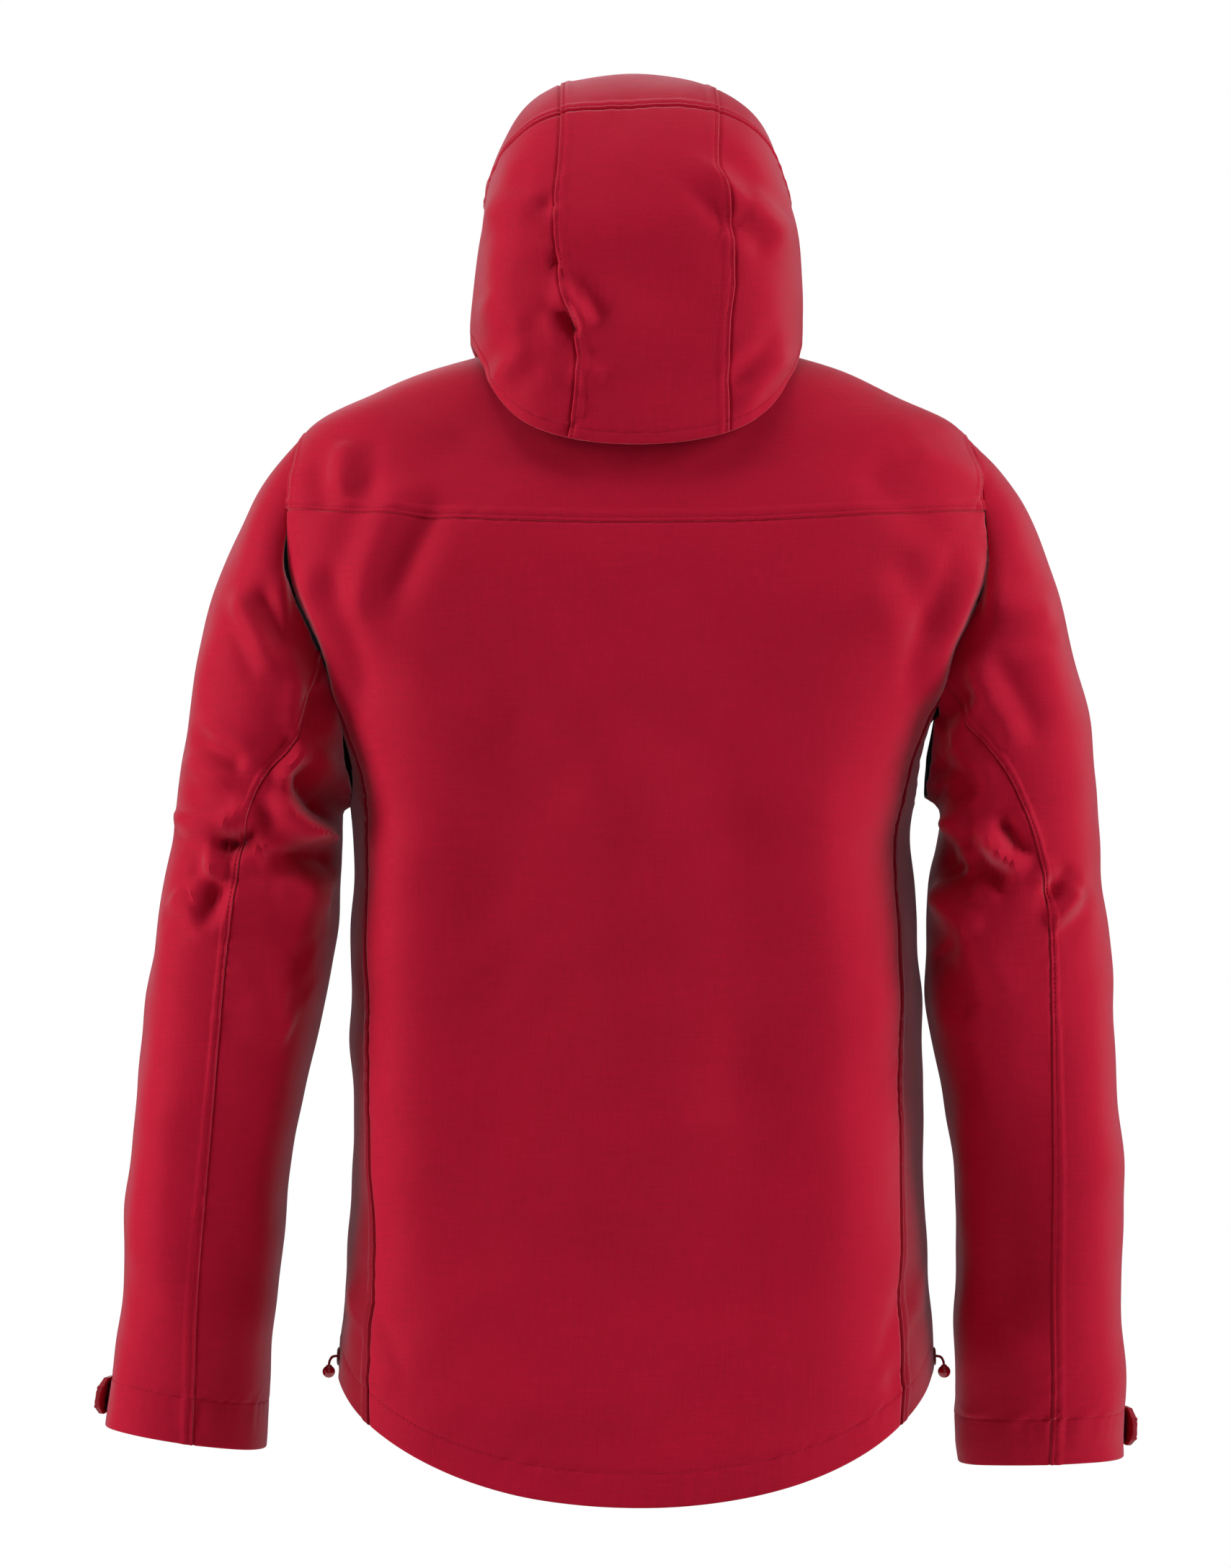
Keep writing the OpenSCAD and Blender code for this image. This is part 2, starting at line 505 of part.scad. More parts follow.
// The neck band runs straight from the zip half to the inside of the hood
band_u = 0.95;
band_reach = 0.84;
band_out = zip_band_out + zip_band_t + 8 * clear;
neck_band = function (s, t)
    mix(lift(collar, hood_end(s), mix(hood_zip_u[0], hood_zip_u[1], 0.5), band_out),
        lift(hood, band_reach * (2 * s - 1), band_u, -shell_t - facet_slack - clear), t);
module hood_neck_band() color(shade_red)
    cloth(neck_band, function (s, t) [s, t],
        spread(0, 1, 28), [0.06, 0.2, 0.5, 1], facing_t / 2, -facing_t / 2);

// ---------- zips ----------
// Local zip frame: z along the zip, -y outwards, x across
coil_y = shell_t + 1.2;
flange_t = 1.4;
slider_half = coil_w + web_slot / 2 + 2 * clear + flange_t;
function plate_y() = coil_t / 2 + clear;

module zip_tapes(l) for (m = [0, 1]) mirror([m, 0, 0])
    translate([web_slot / 2 + coil_w, coil_y - 0.4, 0]) cube([tape_w, 0.8, l]);
module zip_coils(l) for (m = [0, 1]) mirror([m, 0, 0])
    translate([web_slot / 2, coil_y - coil_t / 2, 0]) cube([coil_w, coil_t, l]);
// The slider: two plates with turned flanges, a web in the slot between the coils, and a bail with its pin
module zip_slider(l) {
    lip = plate_y() - 0.4 - clear;
    for (m = [0, 1]) translate([0, coil_y, 0]) mirror([0, m, 0]) {
        translate([-slider_half, plate_y(), 0]) cube([2 * slider_half, plate_t, l]);
        for (k = [0, 1]) mirror([k, 0, 0])
            translate([slider_half - flange_t, plate_y() - lip, 0]) cube([flange_t, lip, l]);
    }
    translate([-web_slot / 2 + clear, coil_y - plate_y(), l * 0.55])
        cube([web_slot - 2 * clear, 2 * plate_y(), l * 0.45]);
    for (k = [0, 1]) mirror([k, 0, 0])
        translate([bail_in, pin_y() - pin_r - 0.6, l * 0.4])
            cube([1, plate_out() - pin_y() + pin_r + 0.6, l * 0.4]);
    translate([-bail_in - 0.5, pin_y(), l * 0.6]) rotate([0, 90, 0]) cylinder(r = pin_r, h = 2 * bail_in + 1);
}
bail_in = 2.1;
function plate_out() = coil_y - plate_y() - plate_t;
function pin_y() = plate_out() - pin_r - 1.1;
// The puller hangs from the pin: an eye, a stem and a grip
module zip_puller(l, sl) translate([0, pin_y(), sl * 0.6]) {
    w = bail_in - clear;
    difference() {
        union() {
            rotate([0, 90, 0]) cylinder(r = pin_r + 1, h = 2 * w, center = true);
            translate([-w, -0.75, -l * 0.45]) cube([2 * w, 1.3, l * 0.45]);
            translate([0, 0.55, -l * 0.45]) rotate([90, 0, 0]) linear_extrude(1.6) hull() {
                translate([0, 1]) circle(r = 2.6);
                translate([0, -l * 0.5]) circle(r = 3.6);
            }
        }
        rotate([0, 90, 0]) cylinder(r = pin_r + running_fit, h = 3 * w, center = true);
    }
}

// Front zip: from the hem to the chin along the straight centre front
zip_top = [0, zip_y(chin_z), chin_z];
zip_l = norm([0, zip_y(front_hem_z) - zip_y(chin_z), chin_z - front_hem_z]) - 6;
module on_front() translate(zip_top) rotate([-zip_tilt, 0, 0]) translate([0, 0, -zip_l - 2]) children();
stop_l = 3;
box_l = 9;
module main_tapes() color("black") on_front() zip_tapes(zip_l);
module main_coils() color("black") on_front()
    translate([0, 0, box_l + 0.1]) zip_coils(zip_l - stop_l - box_l - 0.2);
module main_stops() color("dimgray") on_front() {
    for (m = [0, 1]) mirror([m, 0, 0])
        translate([web_slot / 2, coil_y - coil_t / 2, zip_l - stop_l]) cube([coil_w, coil_t, stop_l]);
    translate([-coil_w - web_slot / 2, coil_y - coil_t / 2, 0]) cube([2 * coil_w + web_slot, coil_t, box_l]);
}
slider_at = zip_l - stop_l - slider_l - 1;
module main_slider() color("dimgray") on_front() translate([0, 0, slider_at]) zip_slider(slider_l);
module main_puller() color(trim_red) on_front() translate([0, 0, slider_at]) zip_puller(puller_l, slider_l);

// The inner flap lies behind the front zip, sewn to one side
flap_half = 20;
flap_y = coil_y + plate_y() + plate_t + 0.6;
module storm_flap() color(shade_red) on_front()
    translate([-flap_half, flap_y, 2]) cube([2 * flap_half, facing_t, zip_l - 4]);

// Pocket zips lie behind their window, along the chord between its ends
pocket_slider_l = 10;
pocket_puller_l = 22;
function pocket_end(side, u) =
    let (p = front_place(side, pocket_s, u)) lift(torso, p[0], p[1], 0);
module on_pocket(side) {
    lo = pocket_end(side, pocket_u0);
    hi = pocket_end(side, pocket_u1);
    mid = front_place(side, pocket_s, (pocket_u0 + pocket_u1) / 2);
    out = unit(lift(torso, mid[0], mid[1], 1) - torso(mid[0], mid[1]));
    zz = unit(hi - lo);
    xx = unit(cross(-out, zz));
    yy = cross(zz, xx);
    start = (lo + hi) / 2 - zz * (pocket_l / 2) + yy * pocket_in;
    multmatrix([[xx[0], yy[0], zz[0], start[0]], [xx[1], yy[1], zz[1], start[1]],
                [xx[2], yy[2], zz[2], start[2]], [0, 0, 0, 1]]) children();
}
pocket_in = 0.8;
module pocket_tapes(side) color("black") on_pocket(side) zip_tapes(pocket_l);
module pocket_coils(side) color("black") on_pocket(side) zip_coils(pocket_l);
module pocket_slider(side) color("dimgray") on_pocket(side)
    translate([0, 0, pocket_l - pocket_slider_l - 1]) zip_slider(pocket_slider_l);
module pocket_puller(side) color(trim_red) on_pocket(side)
    translate([0, 0, pocket_l - pocket_slider_l - 1]) zip_puller(pocket_puller_l, pocket_slider_l);
module pocket_bag(side) color("dimgray")
    cloth(torso, function (s, t) front_place(side, mix(0.24, 0.93, s), mix(0.45, 3.4, t)),
        spread(0, 1, 9), spread(0, 1, 12), -shell_t - facet_slack, -shell_t - facet_slack - facing_t,
        puff = function (s, t) -15 * pow(sin(180 * s) * sin(180 * t), 0.45), flip = side == RIGHT);

// ---------- small sewn trims ----------
loop_w = 60;
loop_h = 8;
loop_deep = 7;
loop_bend = loop_w / 2 - loop_deep / 2;
loop_y = -shell_t - facing_t - facet_slack - 5;
module hanger_loop() color(trim_red)
    translate([0, loop_y, 8]) linear_extrude(loop_h) difference() {
        hull() for (m = [-1, 1]) translate([m * loop_bend, -loop_deep / 2]) circle(d = loop_deep);
        hull() for (m = [-1, 1]) translate([m * loop_bend, -loop_deep / 2]) circle(d = loop_deep - 2);
    }
module blank_label() color("gainsboro")
    translate([-17, loop_y, -22]) cube([34, 0.6, 24]);

back_panel();
back_yoke();
side_panel(LEFT);  // left_side_panel
side_panel(RIGHT);  // right_side_panel
front(LEFT);  // left_front
front(RIGHT);  // right_front
collar_outer();
collar_lining();
storm_flap();
hem_facing();
body_seam_tape();
upper_sleeve(LEFT);  // left_upper_sleeve
under_sleeve(LEFT);  // left_under_sleeve
upper_sleeve(RIGHT);  // right_upper_sleeve
under_sleeve(RIGHT);  // right_under_sleeve
cuff_facing(LEFT);  // left_cuff_facing
cuff_facing(RIGHT);  // right_cuff_facing
cuff_tab(LEFT);  // left_cuff_tab
cuff_tab(RIGHT);  // right_cuff_tab
tab_hook(LEFT);  // left_tab_hook
tab_hook(RIGHT);  // right_tab_hook
cuff_loop(LEFT);  // left_cuff_loop
cuff_loop(RIGHT);  // right_cuff_loop
hood_centre();
hood_left();
hood_right();
hood_crown();
hood_facing();
hood_neck_band();
brim_stiffener();
hood_seam_tape();
hood_zip();
collar_zip();
main_tapes();
main_coils();
main_stops();
main_slider();
main_puller();
pocket_tapes(LEFT);  // left_pocket_tapes
pocket_coils(LEFT);  // left_pocket_coils
pocket_slider(LEFT);  // left_pocket_slider
pocket_puller(LEFT);  // left_pocket_puller
pocket_bag(LEFT);  // left_pocket_bag
pocket_tapes(RIGHT);  // right_pocket_tapes
pocket_coils(RIGHT);  // right_pocket_coils
pocket_slider(RIGHT);  // right_pocket_slider
pocket_puller(RIGHT);  // right_pocket_puller
pocket_bag(RIGHT);  // right_pocket_bag
hem_elastic();
eyelet(LEFT);  // left_eyelet
eyelet(RIGHT);  // right_eyelet
cord_loop(LEFT);  // left_cord_loop
cord_loop(RIGHT);  // right_cord_loop
cord_lock(LEFT);  // left_cord_lock
cord_lock(RIGHT);  // right_cord_lock
lock_button(LEFT);  // left_lock_button
lock_button(RIGHT);  // right_lock_button
hanger_loop();
blank_label();
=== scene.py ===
# %% [markdown]
# A hooded shell jacket, seen from behind as if an invisible wearer had it on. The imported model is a
# fixed frame: it gives every size and place, and the sewn cloth, stitches and trims are built on it.
# Everything is in metres: +Z is up, the front faces -Y, and +X is the wearer's left.

# %% Load the frame and measure it
import json
import math

import bpy
import numpy as np
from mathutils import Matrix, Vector

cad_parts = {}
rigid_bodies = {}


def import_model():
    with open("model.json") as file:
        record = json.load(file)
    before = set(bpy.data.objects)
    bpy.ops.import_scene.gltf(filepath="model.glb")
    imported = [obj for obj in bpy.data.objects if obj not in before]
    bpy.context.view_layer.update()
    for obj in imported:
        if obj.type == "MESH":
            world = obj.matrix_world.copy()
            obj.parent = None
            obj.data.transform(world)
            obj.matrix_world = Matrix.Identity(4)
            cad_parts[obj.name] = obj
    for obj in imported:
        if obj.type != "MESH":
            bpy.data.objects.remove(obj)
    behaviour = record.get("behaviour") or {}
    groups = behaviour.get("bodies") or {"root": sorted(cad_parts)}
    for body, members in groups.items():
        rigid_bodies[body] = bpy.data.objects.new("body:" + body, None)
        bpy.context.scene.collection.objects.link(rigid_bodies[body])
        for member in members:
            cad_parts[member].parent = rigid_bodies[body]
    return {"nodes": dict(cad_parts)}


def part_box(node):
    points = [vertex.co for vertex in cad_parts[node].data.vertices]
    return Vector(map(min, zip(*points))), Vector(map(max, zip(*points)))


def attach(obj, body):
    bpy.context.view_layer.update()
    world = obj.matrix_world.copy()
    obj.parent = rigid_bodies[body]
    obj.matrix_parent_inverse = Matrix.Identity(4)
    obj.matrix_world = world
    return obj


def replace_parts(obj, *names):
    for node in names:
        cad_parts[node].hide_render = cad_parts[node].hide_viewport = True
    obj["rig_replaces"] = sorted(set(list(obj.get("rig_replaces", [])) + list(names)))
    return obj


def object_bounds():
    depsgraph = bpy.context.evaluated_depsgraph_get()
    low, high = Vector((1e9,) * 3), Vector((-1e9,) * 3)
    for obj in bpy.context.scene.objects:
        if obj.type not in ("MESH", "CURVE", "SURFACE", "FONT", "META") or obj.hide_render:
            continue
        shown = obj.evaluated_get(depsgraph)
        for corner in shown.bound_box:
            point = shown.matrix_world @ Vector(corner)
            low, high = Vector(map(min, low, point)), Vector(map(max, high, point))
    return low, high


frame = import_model()
cad_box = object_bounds()
LEFT, RIGHT = 1, -1
SIDES = {"left": LEFT, "right": RIGHT}

# %% [markdown]
# The camera stands behind the jacket at the height of the middle of its back. A long lens from four
# metres keeps the sleeves and the body at their true proportions, as a catalogue studio does.

# %% Place the camera
CAMERA_AWAY = 4.05
VIEW_HEIGHT = 1.061
VIEW_CENTRE = Vector((0.0146, 0, -0.277))
lens = bpy.data.cameras.new("camera")
lens.sensor_fit = "VERTICAL"
lens.angle = 2 * math.atan(VIEW_HEIGHT / 2 / (CAMERA_AWAY - 0.045))
camera = bpy.data.objects.new("camera", lens)
camera.location = VIEW_CENTRE + Vector((0, CAMERA_AWAY, 0))
camera.rotation_euler = (math.pi / 2, 0, math.pi)
bpy.context.scene.collection.objects.link(camera)
bpy.context.scene.camera = camera
print("camera:", tuple(round(x, 3) for x in camera.location))

# %% [markdown]
# Light comes from two tall soft boxes at the sides, a broad one above and a weak one behind the
# camera, so the rims of the sleeves and the hood glow while the middle of the back stays deep. The
# front gets a soft box of its own. A dim world fills the shadows, and shows white behind the jacket.

# %% Set up the studio
def soft_box(name, place, aim, size, watts):
    data = bpy.data.lights.new(name, "AREA")
    data.shape = "RECTANGLE"
    data.size, data.size_y, data.energy = size[0], size[1], watts
    lamp = bpy.data.objects.new(name, data)
    lamp.location = place
    lamp.rotation_euler = (Vector(aim) - Vector(place)).to_track_quat("-Z", "Y").to_euler()
    bpy.context.scene.collection.objects.link(lamp)


body_middle = (0, 0, -0.3)
soft_box("left_box", (2.0, 0.42, 0.2), body_middle, (0.6, 2.2), 36)
soft_box("right_box", (-2.0, 0.5, 0.2), body_middle, (0.6, 2.2), 38)
soft_box("top_box", (0, 0.3, 1.7), (0, 0, -0.1), (1.2, 0.8), 13)
soft_box("back_fill", (-0.7, 4.2, 0.9), body_middle, (1.6, 1.6), 9)
soft_box("front_fill", (0.6, -3.4, 0.8), body_middle, (2.4, 2.4), 30)

world = bpy.data.worlds.new("studio")
bpy.context.scene.world = world
world.use_nodes = True
air = world.node_tree
air.nodes.clear()
to_camera = air.nodes.new("ShaderNodeLightPath")
fill = air.nodes.new("ShaderNodeBackground")
fill.inputs["Color"].default_value = (1, 0.99, 0.98, 1)
fill.inputs["Strength"].default_value = 0.03
seen = air.nodes.new("ShaderNodeBackground")
seen.inputs["Color"].default_value = (1, 1, 1, 1)
seen.inputs["Strength"].default_value = 1.0
either = air.nodes.new("ShaderNodeMixShader")
world_out = air.nodes.new("ShaderNodeOutputWorld")
air.links.new(to_camera.outputs["Is Camera Ray"], either.inputs[0])
air.links.new(fill.outputs[0], either.inputs[1])
air.links.new(seen.outputs[0], either.inputs[2])
air.links.new(either.outputs[0], world_out.inputs["Surface"])
bpy.context.scene.view_settings.view_transform = "Standard"

floor_mesh = bpy.data.meshes.new("floor")
floor_z, floor_half = cad_box[0][2] - 0.62, 2.5
floor_mesh.from_pydata([(x, y, floor_z) for x, y in ((-floor_half, -floor_half), (floor_half, -floor_half),
                                                     (floor_half, floor_half), (-floor_half, floor_half))],
                       [], [(0, 1, 2, 3)])
floor = bpy.data.objects.new("floor", floor_mesh)
bpy.context.scene.collection.objects.link(floor)
print("studio: five soft boxes, floor at", round(floor_z, 3))

# %% [markdown]
# Cloth needs one effect at several scales: yarns that run up and across, slight unevenness of each
# yarn, and broad patches that took the dye a little differently. The yarns could be painted on
# unwrapped panels, but then every seam would need matching. Here they follow the jacket's own upright
# and sideways directions, so they meet at the seams by themselves. It is one node group, used by every
# woven finish with its own pitch.

# %% Make the weave group
def new_group(name, inputs, outputs):
    group = bpy.data.node_groups.new(name, "ShaderNodeTree")
    for label, kind, value in inputs:
        socket = group.interface.new_socket(label, in_out="INPUT", socket_type=kind)
        if value is not None:
            socket.default_value = value
    for label, kind in outputs:
        group.interface.new_socket(label, in_out="OUTPUT", socket_type=kind)
    return group, group.nodes.new("NodeGroupInput"), group.nodes.new("NodeGroupOutput")


def maths(tree, kind, a, b=None, clamp=False):
    node = tree.nodes.new("ShaderNodeMath")
    node.operation, node.use_clamp = kind, clamp
    for socket, value in zip(node.inputs, (a, b)):
        if hasattr(value, "is_output"):
            tree.links.new(value, socket)
        elif value is not None:
            socket.default_value = value
    return node.outputs[0]


def stretched_noise(tree, position, stretch, scale, detail=2.0):
    move = tree.nodes.new("ShaderNodeVectorMath")
    move.operation = "MULTIPLY"
    tree.links.new(position, move.inputs[0])
    move.inputs[1].default_value = stretch
    noise = tree.nodes.new("ShaderNodeTexNoise")
    tree.links.new(move.outputs[0], noise.inputs["Vector"])
    if hasattr(scale, "is_output"):
        tree.links.new(scale, noise.inputs["Scale"])
    else:
        noise.inputs["Scale"].default_value = scale
    noise.inputs["Detail"].default_value = detail
    return noise.outputs["Fac"]


def make_weave():
    group, given, result = new_group(
        "weave", [("Yarns per metre", "NodeSocketFloat", 2600.0), ("Unevenness", "NodeSocketFloat", 0.5)],
        [("Height", "NodeSocketFloat"), ("Tone", "NodeSocketFloat")])
    where = group.nodes.new("ShaderNodeTexCoord").outputs["Object"]
    parts = group.nodes.new("ShaderNodeSeparateXYZ")
    group.links.new(where, parts.inputs[0])
    turns = maths(group, "MULTIPLY", given.outputs["Yarns per metre"], math.tau / 2)
    round_body = maths(group, "ADD", parts.outputs[0], parts.outputs[1])
    warp = maths(group, "SINE", maths(group, "MULTIPLY", round_body, turns))
    weft = maths(group, "SINE", maths(group, "MULTIPLY", parts.outputs[2], turns))
    crossing = maths(group, "MULTIPLY", warp, weft)
    across = stretched_noise(group, where, (0.06, 0.06, 1), 900.0)
    upright = stretched_noise(group, where, (1, 1, 0.05), 900.0)
    yarn = maths(group, "ADD", across, upright)
    uneven = maths(group, "MULTIPLY", maths(group, "SUBTRACT", yarn, 1.0), given.outputs["Unevenness"])
    height = maths(group, "ADD", maths(group, "MULTIPLY", crossing, 0.3), uneven)
    group.links.new(height, result.inputs["Height"])
    tone = maths(group, "ADD", maths(group, "MULTIPLY", uneven, 1.6), 0.5, clamp=True)
    group.links.new(tone, result.inputs["Tone"])
    return group


def make_patches():
    group, given, result = new_group("dye_patches", [("Size", "NodeSocketFloat", 9.0)],
                                     [("Mask", "NodeSocketFloat")])
    where = group.nodes.new("ShaderNodeTexCoord").outputs["Object"]
    broad = stretched_noise(group, where, (1, 1, 0.7), given.outputs["Size"], 4.0)
    contrast = maths(group, "MULTIPLY", maths(group, "SUBTRACT", broad, 0.5), 1.6)
    mask = maths(group, "ADD", contrast, 0.5, clamp=True)
    group.links.new(mask, result.inputs["Mask"])
    return group


def make_grain():
    group, given, result = new_group("fine_grain", [("Scale", "NodeSocketFloat", 900.0)],
                                     [("Height", "NodeSocketFloat"), ("Mask", "NodeSocketFloat")])
    where = group.nodes.new("ShaderNodeTexCoord").outputs["Object"]
    fine = stretched_noise(group, where, (1, 1, 1), given.outputs["Scale"], 3.0)
    group.links.new(fine, result.inputs["Height"])
    scuffs = stretched_noise(group, where, (1, 0.5, 1.6), 160.0, 5.0)
    mask = maths(group, "MULTIPLY", maths(group, "SUBTRACT", scuffs, 0.55), 5.0, clamp=True)
    group.links.new(mask, result.inputs["Mask"])
    return group


WEAVE, PATCHES, GRAIN = make_weave(), make_patches(), make_grain()
print("node groups:", [g.name for g in bpy.data.node_groups])

# %% [markdown]
# The shell cloth is a fine plain weave of dyed nylon with a dull face that lightens where light grazes
# it. A woven finish is a Principled shader with a little sheen; its colour moves between a deep and a
# light dye tone by yarn and by patch, and the same yarns give the bump. Linings, tapes, mesh and
# ribbon are the same recipe with their own pitch and colours.

# %% Make the cloth finishes
def principled(name):
    material = bpy.data.materials.new(name)
    material.use_nodes = True
    return material, material.node_tree, material.node_tree.nodes["Principled BSDF"]


def place_group(tree, group, **values):
    node = tree.nodes.new("ShaderNodeGroup")
    node.node_tree = group
    for label, value in values.items():
        node.inputs[label.replace("_", " ")].default_value = value
    return node


def colour_between(tree, share, dark, light):
    mixer = tree.nodes.new("ShaderNodeMix")
    mixer.data_type = "RGBA"
    tree.links.new(share, mixer.inputs["Factor"])
    for socket, value in ((mixer.inputs["A"], dark), (mixer.inputs["B"], light)):
        if hasattr(value, "is_output"):
            tree.links.new(value, socket)
        else:
            socket.default_value = (*value, 1)
    return mixer.outputs["Result"]


def raise_surface(tree, height, shader, depth, strength=1.0):
    bump = tree.nodes.new("ShaderNodeBump")
    bump.inputs["Distance"].default_value = depth
    bump.inputs["Strength"].default_value = strength
    tree.links.new(height, bump.inputs["Height"])
    tree.links.new(bump.outputs[0], shader.inputs["Normal"])


def woven(name, deep, light, pitch=2600.0, rough=0.66, sheen=0.9, sheen_tint=(1, 0.62, 0.7), depth=0.0002,
          unevenness=0.5, specular=0.12):
    material, tree, shader = principled(name)
    yarns = place_group(tree, WEAVE, Yarns_per_metre=pitch, Unevenness=unevenness)
    patches = place_group(tree, PATCHES, Size=9.0)
    middle = [(d + l) / 2 for d, l in zip(deep, light)]
    by_patch = colour_between(tree, patches.outputs["Mask"], deep, middle)
    by_yarn = colour_between(tree, yarns.outputs["Tone"], by_patch, light)
    tree.links.new(by_yarn, shader.inputs["Base Color"])
    rougher = maths(tree, "ADD", maths(tree, "MULTIPLY", yarns.outputs["Tone"], 0.12), rough - 0.06)
    tree.links.new(rougher, shader.inputs["Roughness"])
    shader.inputs["Sheen Weight"].default_value = sheen
    shader.inputs["Sheen Roughness"].default_value = 0.3
    shader.inputs["Sheen Tint"].default_value = (*sheen_tint, 1)
    shader.inputs["Specular IOR Level"].default_value = specular
    raise_surface(tree, yarns.outputs["Height"], shader, depth)
    return material


shell_cloth = woven("shell_cloth", (0.44, 0.001, 0.018), (0.64, 0.004, 0.04))
# A darker copy of the shell cloth: painted shade for the side panels, which turn away from the light.
shaded_side_cloth = woven("shaded_side_cloth", (0.26, 0.001, 0.010), (0.40, 0.004, 0.024))
facing_cloth = woven("facing_cloth", (0.25, 0.002, 0.012), (0.36, 0.004, 0.02), pitch=2200.0)
backing_film = woven("backing_film", (0.26, 0.27, 0.29), (0.36, 0.37, 0.39), pitch=1500.0, rough=0.5,
                     sheen=0.05, sheen_tint=(1, 1, 1))
collar_fleece = woven("collar_fleece", (0.035, 0.036, 0.04), (0.075, 0.077, 0.083), pitch=700.0, rough=0.9,
                      sheen=0.6, sheen_tint=(0.8, 0.8, 0.85), depth=0.0006, unevenness=1.0)
zip_cloth = woven("zip_cloth", (0.10, 0.002, 0.006), (0.17, 0.005, 0.012), pitch=1300.0, rough=0.7,
                  depth=0.0003)
mesh_cloth = woven("mesh_cloth", (0.05, 0.05, 0.055), (0.11, 0.11, 0.12), pitch=500.0, rough=0.75,
                   sheen=0.2, sheen_tint=(1, 1, 1), depth=0.0006)
ribbon_cloth = woven("ribbon_cloth", (0.30, 0.002, 0.015), (0.44, 0.006, 0.03), pitch=1100.0, depth=0.0003)
label_cloth = woven("label_cloth", (0.72, 0.71, 0.68), (0.84, 0.83, 0.80), pitch=1800.0, rough=0.6,
                    sheen=0.1, sheen_tint=(1, 1, 1))
cord_cloth = woven("cord_cloth", (0.25, 0.002, 0.012), (0.42, 0.006, 0.028), pitch=1600.0, depth=0.0004)
elastic_cloth = woven("elastic_cloth", (0.03, 0.03, 0.032), (0.08, 0.08, 0.085), pitch=900.0, depth=0.0004,
                      sheen_tint=(1, 1, 1))
hook_tape = woven("hook_tape", (0.05, 0.004, 0.007), (0.13, 0.01, 0.017), pitch=650.0, rough=0.8,
                  depth=0.0008, unevenness=1.4)
thread = woven("thread", (0.34, 0.0015, 0.016), (0.50, 0.006, 0.036), pitch=4000.0, rough=0.5,
               sheen=0.15, depth=0.0001)
print("woven finishes:", len(bpy.data.materials))

# %% [markdown]
# Moulded and cast trims are smoother: cord locks and zip coils are plastic with a fine grain, sliders are painted
# metal with scuffs scattered over them, the cuff tabs and pull balls are rubber or glossy plastic dyed to match.
# They share one recipe with the grain group; only colour, gloss and metal change.

# %% Make the moulded finishes
def moulded(name, deep, light, rough=0.4, metal=0.0, coat=0.0, grain=900.0, depth=0.00008, scuff=None):
    material, tree, shader = principled(name)
    fine = place_group(tree, GRAIN, Scale=grain)
    base = colour_between(tree, fine.outputs["Height"], deep, light)
    if scuff:
        base = colour_between(tree, fine.outputs["Mask"], base, scuff)
    tree.links.new(base, shader.inputs["Base Color"])
    rougher = maths(tree, "ADD", maths(tree, "MULTIPLY", fine.outputs["Mask"], 0.2), rough)
    tree.links.new(rougher, shader.inputs["Roughness"])
    shader.inputs["Metallic"].default_value = metal
    shader.inputs["Coat Weight"].default_value = coat
    shader.inputs["Coat Roughness"].default_value = 0.1
    raise_surface(tree, fine.outputs["Height"], shader, depth)
    return material


tab_rubber = moulded("tab_rubber", (0.30, 0.002, 0.014), (0.42, 0.005, 0.028),
                     rough=0.5, scuff=(0.5, 0.03, 0.06))
ball_plastic = moulded("ball_plastic", (0.40, 0.001, 0.01), (0.50, 0.004, 0.02), rough=0.16, coat=0.7,
                       grain=300.0, depth=0.00003)
lock_plastic = moulded("lock_plastic", (0.012, 0.012, 0.013), (0.03, 0.03, 0.032),
                       rough=0.38, scuff=(0.07, 0.07, 0.07))
coil_plastic = moulded("coil_plastic", (0.10, 0.002, 0.006), (0.18, 0.004, 0.012), rough=0.35)
slider_metal = moulded("slider_metal", (0.16, 0.004, 0.01), (0.24, 0.006, 0.018), rough=0.32, metal=0.6,
                       coat=0.4, scuff=(0.45, 0.42, 0.40))
bare_metal = moulded("bare_metal", (0.42, 0.42, 0.44), (0.56, 0.56, 0.58),
                     rough=0.3, metal=1.0, scuff=(0.7, 0.7, 0.7))
board = moulded("board", (0.5, 0.5, 0.48), (0.6, 0.6, 0.58), rough=0.6)
tape_film = moulded("tape_film", (0.30, 0.31, 0.33), (0.38, 0.39, 0.41), rough=0.3)
floor_paint = moulded("floor_paint", (0.86, 0.86, 0.85), (0.9, 0.9, 0.89),
                      rough=0.7, grain=60.0, depth=0.0002)
floor_mesh.materials.append(floor_paint)
print("all finishes:", len(bpy.data.materials))

# %% [markdown]
# The jacket's outer surfaces are the same smooth ones that the frame's plain panels were cut from:
# rings round the body, rings along each arm that start on the armhole, and arches over the hood. Each
# is a function of two values, so a panel is a patch of it, and neighbours share their seam exactly.
# The numbers are the pattern's stations in millimetres, turned into metres once.

# %% Describe the body's stations
MM = 0.001
back_length = -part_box("back_panel")[0].z
neck_half, chin_out, front_out = 0.096, 0.165, 0.215
chin_z, front_hem_z = 0.030, -0.690
zip_slope = (front_out - chin_out) / (chin_z - front_hem_z)
